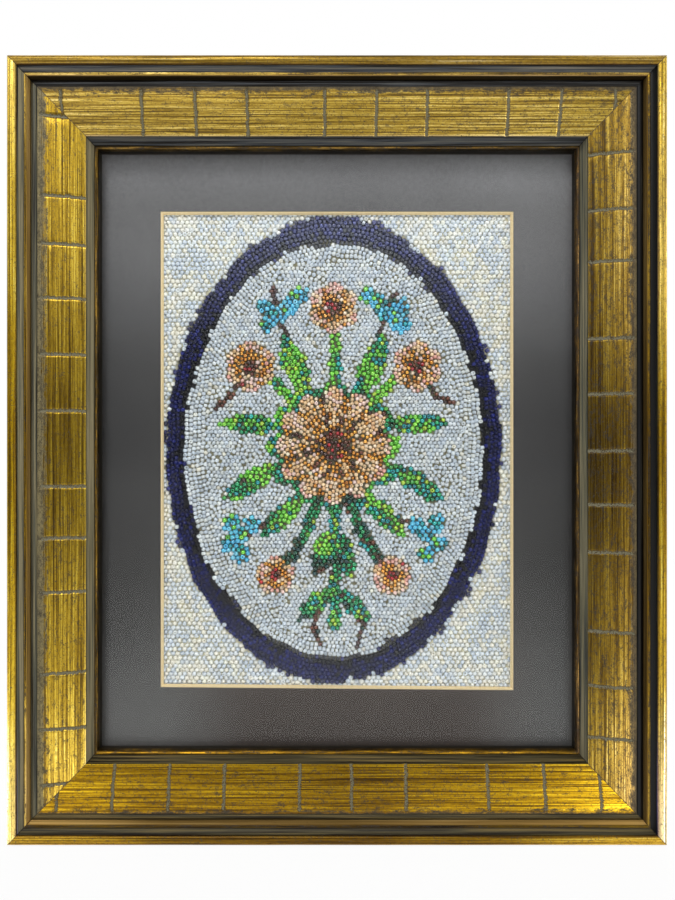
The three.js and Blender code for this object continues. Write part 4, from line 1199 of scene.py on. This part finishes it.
def glassFinish():
    # coated picture glass, 2 mm: clear, with only a trace of the room in it
    material, add = newMaterial("coatedPictureGlass")
    where = add("TexCoord").outputs["Object"]
    smear = add("TexNoise", where, 1 / (60 * mm), 3)
    rough = add("MapRange", smear, 0.35, 0.7, 0.03, 0.06)
    fresnel = add("Fresnel", 1.45)
    coated = add("Math", fresnel, 0.18, operation="MULTIPLY")
    clear = add("BsdfTransparent", (0.985, 0.992, 0.988, 1))
    mirror = add("BsdfGlossy", (1, 1, 1, 1), rough)
    add("OutputMaterial", add("MixShader", coated, clear, mirror))
    return material


def buildMatFace(paper, core):
    # the paper's bevelled edge is sliced pulp like the core, so only its face is charcoal
    mesh = welded("mat_face_paper")
    for face in mesh.faces:
        face.material_index = 1 if 0.3 < abs(face.normal.y) < 0.9 else 0
    settle(objectFrom(mesh, "matFacePaper", paper, core), "frame", ["mat_face_paper"])


# the glue's colour: pale in the corners, darker under the oval and near black under the band as painted shade
# between the beads
glueSettings = dict(back=6.25, front=7.45, swell=0.16, step=1.3, inset=0.1, tones={
    "beads_oval_band": "#0c0d14", "beads_oval_ground": "#8d886c", "beads_corner_ground": "#ebe4c6",
    None: "#ebe4c6", "other": "#5f5a40"})


def buildGlueBed(glue):
    # the glue stands up between the beads that were pressed into it; its colour is darkened under the oval's
    # beads and the band as painted shade in the gaps
    s = glueSettings
    halfWidth = beadSettings["fieldHalfWidth"] - s["inset"]
    halfHeight = beadSettings["fieldHalfHeight"] - s["inset"]
    columns, rows = round(2 * halfWidth / s["step"]), round(2 * halfHeight / s["step"])
    find = fieldFinder()
    mesh = bmesh.new()
    toneLayer = mesh.verts.layers.float_color.new("tone")
    grid = {}
    for i in range(columns + 1):
        for k in range(rows + 1):
            x, z = -halfWidth + 2 * halfWidth * i / columns, -halfHeight + 2 * halfHeight * k / rows
            swell = s["swell"] * noise.noise(Vector((x * 0.2, z * 0.2, 7)))
            grid[i, k] = mesh.verts.new(spot(x, s["front"] + swell, z))
            grid[i, k][toneLayer] = hexColour(s["tones"].get(find(x, z), s["tones"]["other"]))
    for i in range(columns):
        for k in range(rows):
            mesh.faces.new([grid[i, k], grid[i + 1, k], grid[i + 1, k + 1], grid[i, k + 1]])
    rim = [(i, 0) for i in range(columns)] + [(columns, k) for k in range(rows)]
    rim += [(i, rows) for i in range(columns, 0, -1)] + [(0, k) for k in range(rows, 0, -1)]
    front, back = [grid[place] for place in rim], []
    for corner in front:
        back.append(mesh.verts.new((corner.co.x, spot(0, s["back"], 0).y, corner.co.z)))
        back[-1][toneLayer] = corner[toneLayer]
    joinRings(mesh, front, back)
    bmesh.ops.triangulate(mesh, faces=[mesh.faces.new(back)])
    settle(meshPiece("glueBed", mesh, glue), "frame", ["glue_bed"])


metal = dict(metal=True, detail=4, crumb=0.65, relief=(0.2, 0.05))
hardware = dict(
    # zinc plate: fine bright marks
    steel=grainyFinish(dict(metal, name="zincPlatedSteel", size=0.9, rough=0.36, ramp=[
        (0.3, "#74777b"), (0.55, "#94989b"), (0.8, "#b3b6b8")])),
    # rolled brass, dulled in patches of about 2 mm
    brass=grainyFinish(dict(metal, name="agedBrassPlate", size=2.2, rough=0.26, ramp=[
        (0.3, "#8d6f33"), (0.5, "#b8944a"), (0.75, "#d9bb72")])),
    # yellowish passivated steel
    zinc=grainyFinish(dict(metal, name="passivatedHangerSteel", size=1.6, rough=0.4, ramp=[
        (0.3, "#6f6b5a"), (0.5, "#8c8874"), (0.75, "#a9a590")])),
)
sheetFinishes = dict(
    glass=glassFinish(),
    # cut edge of a cream mat core: matt pulp
    mat_core=grainyFinish(dict(
        name="creamMatCore", size=0.5, detail=3, crumb=0.7, rough=0.9, relief=(0.3, 0.08),
        ramp=[(0.3, "#ecd09c"), (0.55, "#f7deae"), (0.8, "#fceac4")])),
    mat_face_paper=paperFinish(), glue_bed=glueFinish(), bead_board=hardboardFinish(),
    # foam board: warm white paper over a soft core
    shim=grainyFinish(dict(name="foamBoard", size=0.8, detail=2, rough=0.9, ramp=[
        (0.35, "#dedbd1"), (0.65, "#ece9e0")])),
    # moulded rubber: near black, dusty on top
    bumper=grainyFinish(dict(name="bumperRubber", size=1.1, detail=4, rough=0.75, ramp=[
        (0.35, "#262421"), (0.6, "#3a3733"), (0.8, "#57534c")])),
    corner_nail=hardware["steel"], hanger=hardware["zinc"],
)
sheetFinishes["backing_board"] = sheetFinishes["bead_board"]
for name, node in cadNodes.items():
    for start, material in sheetFinishes.items():
        if name.startswith(start) and not name.startswith("hanger_nail"):
            node.data.materials.clear()
            node.data.materials.append(material)
buildMatFace(sheetFinishes["mat_face_paper"], sheetFinishes["mat_core"])
buildGlueBed(sheetFinishes["glue_bed"])
print("sheets and fittings dressed")


# Back fittings

buttonSettings = dict(
    reach=14, tail=5, tipRadius=3.2, hole=1.6, lift=0.2, thickness=1.0, edge=0.16, arcSteps=28)
screwSettings = {"Head Radius": 3.0, "Head Height": 1.7, "Shank Radius": 1.35, "Length": 12.0,
                 "Slot Width": 0.8, "Slot Depth": 0.85, "headBack": 1.25}
bumperSettings = dict(radius=5.0, thickness=2.35, gap=0.05, skirt=0.5, shoulder=2.1)
nailProfile = [
    (0, -11), (0.6, -10.2), (0.6, 0.9), (1.45, 0.9), (1.5, 1.1), (1.45, 1.32), (1.2, 1.44), (0.6, 1.5), (0, 1.5)]


def lathe(node, profile, steps):
    # closed turned piece on an axis along Y through the node: radius, and distance behind the rail's back
    mesh = bmesh.new()
    centre = middleOf(node)
    rings = []
    for radius, behind in profile:
        angles = [2 * math.pi * k / steps for k in range(steps if radius else 1)]
        rings.append([mesh.verts.new((centre.x + radius * mm * math.cos(angle), (backY + behind) * mm,
                                      centre.z + radius * mm * math.sin(angle))) for angle in angles])
    for ring, other in zip(rings, rings[1:]):
        joinRings(mesh, ring, other)
    return mesh


def buttonPiece(number):
    # pressed brass tongue: round tail on the screw, straight sides, round tip, edges broken
    s = buttonSettings
    node = "turn_button_%d" % number
    pivot = middleOf("button_screw_%d" % number)
    towards = (middleOf(node) - pivot).xz.normalized()
    lean = math.asin((s["tail"] - s["tipRadius"]) / (s["reach"] - s["tipRadius"]))
    outline = []
    for centre, radius, start, sweep in (
            (0, s["tail"], math.pi / 2 - lean, math.pi + 2 * lean),
            (s["reach"] - s["tipRadius"], s["tipRadius"], lean - math.pi / 2, math.pi - 2 * lean)):
        for k in range(s["arcSteps"] + 1):
            angle = start + sweep * k / s["arcSteps"]
            outline.append((centre + radius * math.cos(angle), radius * math.sin(angle)))
    outline = outline[1:]
    count = len(outline)
    mesh = bmesh.new()

    def ringOf(points, behind):
        return [mesh.verts.new((pivot.x + (towards.x * u - towards.y * v) * mm, (backY + behind) * mm,
                                pivot.z + (towards.y * u + towards.x * v) * mm)) for u, v in points]
    top = s["lift"] + s["thickness"]
    levels = ((s["lift"], s["edge"]), (s["lift"] + s["edge"], 0), (top - s["edge"], 0), (top, s["edge"]))
    rims, holes = [], []
    angles = [math.pi / 2 - lean + 2 * math.pi * k / count for k in range(count)]
    for behind, inset in levels:
        points = []
        for k, (u, v) in enumerate(outline):
            before, after = outline[k - 1], outline[(k + 1) % count]
            side = Vector((after[1] - before[1], before[0] - after[0])).normalized() * inset
            points.append((u - side.x, v - side.y))
        rims.append(ringOf(points, behind))
    for behind, inset in levels:
        hole = s["hole"] + inset
        holes.append(ringOf([(hole * math.cos(angle), hole * math.sin(angle)) for angle in angles], behind))
    for level in range(3):
        joinRings(mesh, rims[level], rims[level + 1])
        joinRings(mesh, holes[level], holes[level + 1])
    for level in (0, 3):
        joinRings(mesh, rims[level], holes[level])
    piece = meshPiece("brassTurnButton_%d" % number, mesh, hardware["brass"], sharp=50)
    settle(piece, "button_%d" % number, [node])


def screwTree():
    # slotted pan head wood screw, set on every point with its own turn
    tree, sockets, add = newTree("panHeadScrews", ["Head Radius", "Head Height", "Shank Radius", "Length",
                                                   "Slot Width", "Slot Depth"], [], "Steel")
    given = add("NodeGroupInput").outputs
    headRadius, headHeight = given["Head Radius"], given["Head Height"]
    dome = add("GeometryNodeMeshUVSphere", 32, 16, 1)
    domeSize = add("CombineXYZ", headRadius, headRadius, headHeight)
    head = add("GeometryNodeTransform", {"Geometry": dome, "Scale": domeSize})
    below = add("Math", headHeight, -0.5, operation="MULTIPLY")
    trimAt = add("CombineXYZ", 0, 0, below)
    trimWide = add("Math", headRadius, 3, operation="MULTIPLY")
    trimSize = add("CombineXYZ", trimWide, trimWide, headHeight)
    trimBox = add("GeometryNodeMeshCube", trimSize)
    trim = add("GeometryNodeTransform", {"Geometry": trimBox, "Translation": trimAt})
    slotAt = add("CombineXYZ", 0, 0, headHeight)
    slotDeep = add("Math", given["Slot Depth"], 2, operation="MULTIPLY")
    slotSize = add("CombineXYZ", trimWide, given["Slot Width"], slotDeep)
    slotBox = add("GeometryNodeMeshCube", slotSize)
    slot = add("GeometryNodeTransform", {"Geometry": slotBox, "Translation": slotAt})
    shankRod = add("GeometryNodeMeshCylinder", {
        "Vertices": 24, "Radius": given["Shank Radius"], "Depth": given["Length"]})
    half = add("Math", given["Length"], -0.5, operation="MULTIPLY")
    sink = add("Math", headHeight, 0.3, half, operation="MULTIPLY_ADD")
    shankAt = add("CombineXYZ", 0, 0, sink)
    shank = add("GeometryNodeTransform", {"Geometry": shankRod, "Translation": shankAt})
    cut = dict(operation="DIFFERENCE", solver="EXACT")
    domed = add("GeometryNodeMeshBoolean", {"Mesh 1": head, "Mesh 2": trim}, **cut)
    slotted = add("GeometryNodeMeshBoolean", {"Mesh 1": domed, "Mesh 2": slot}, **cut)
    screw = add("GeometryNodeMeshBoolean", {"Mesh 2": slotted}, operation="UNION", solver="EXACT")
    tree.links.new(shank.outputs[0], screw.inputs["Mesh 2"])
    turn = add("FunctionNodeRandomValue", {"Min": 0.3, "Max": 2.9, "Seed": 5}, data_type="FLOAT")
    lay = add("CombineXYZ", -math.pi / 2, 0, 0)
    own = add("CombineXYZ", 0, 0, turn)
    ownTurn = add("FunctionNodeEulerToRotation", own)
    layTurn = add("FunctionNodeEulerToRotation", lay)
    both = add("FunctionNodeRotateRotation", layTurn, ownTurn, rotation_space="LOCAL")
    placed = add("GeometryNodeInstanceOnPoints", {
        "Points": given["Geometry"], "Instance": screw, "Rotation": both})
    real = add("GeometryNodeRealizeInstances", placed)
    add("NodeGroupOutput", add("GeometryNodeSetMaterial", {"Geometry": real, "Material": given["Steel"]}))
    return tree, sockets


def buildScrews():
    s = screwSettings
    names = ["button_screw_%d" % number for number in range(1, 7)]
    mesh = bpy.data.meshes.new("panHeadScrews")
    heads = [middleOf(name) for name in names]
    mesh.from_pydata([(head.x, (backY + s["headBack"]) * mm, head.z) for head in heads], [], [])
    piece = newObject("panHeadScrews", mesh)
    values = {label: s[label] * mm for label in s if label != "headBack"}
    runTree(piece, *screwTree(), {**values, "Steel": hardware["steel"]})
    settle(piece, "frame", names)
    print("screws:", len(piece.data.polygons), "faces")


def bumperProfile():
    # a foot with a rounded shoulder: radius, and distance behind the rail's back
    s = bumperSettings
    profile = [(0, s["gap"]), (s["radius"], s["gap"])]
    for k in range(9):
        angle = math.pi / 2 * k / 8
        profile.append((s["radius"] - s["shoulder"] + s["shoulder"] * math.cos(angle) * 0.999,
                        s["gap"] + s["skirt"] + (s["thickness"] - s["skirt"]) * math.sin(angle)))
    return profile + [(0, s["gap"] + s["thickness"])]


for number in range(1, 7):
    buttonPiece(number)
buildScrews()
for node, name, profile, steps, material, slot in (
        ("bumper_", "rubberBumper_", bumperProfile(), 40, sheetFinishes["bumper"], "bumper_rubber"),
        ("hanger_nail_", "hangerNail_", nailProfile, 24, hardware["steel"], "steel")):
    for side in ("left", "right"):
        piece = meshPiece(name + side, lathe(node + side, profile, steps), material)
        settle(piece, "frame", [node + side])
print("back fittings made")
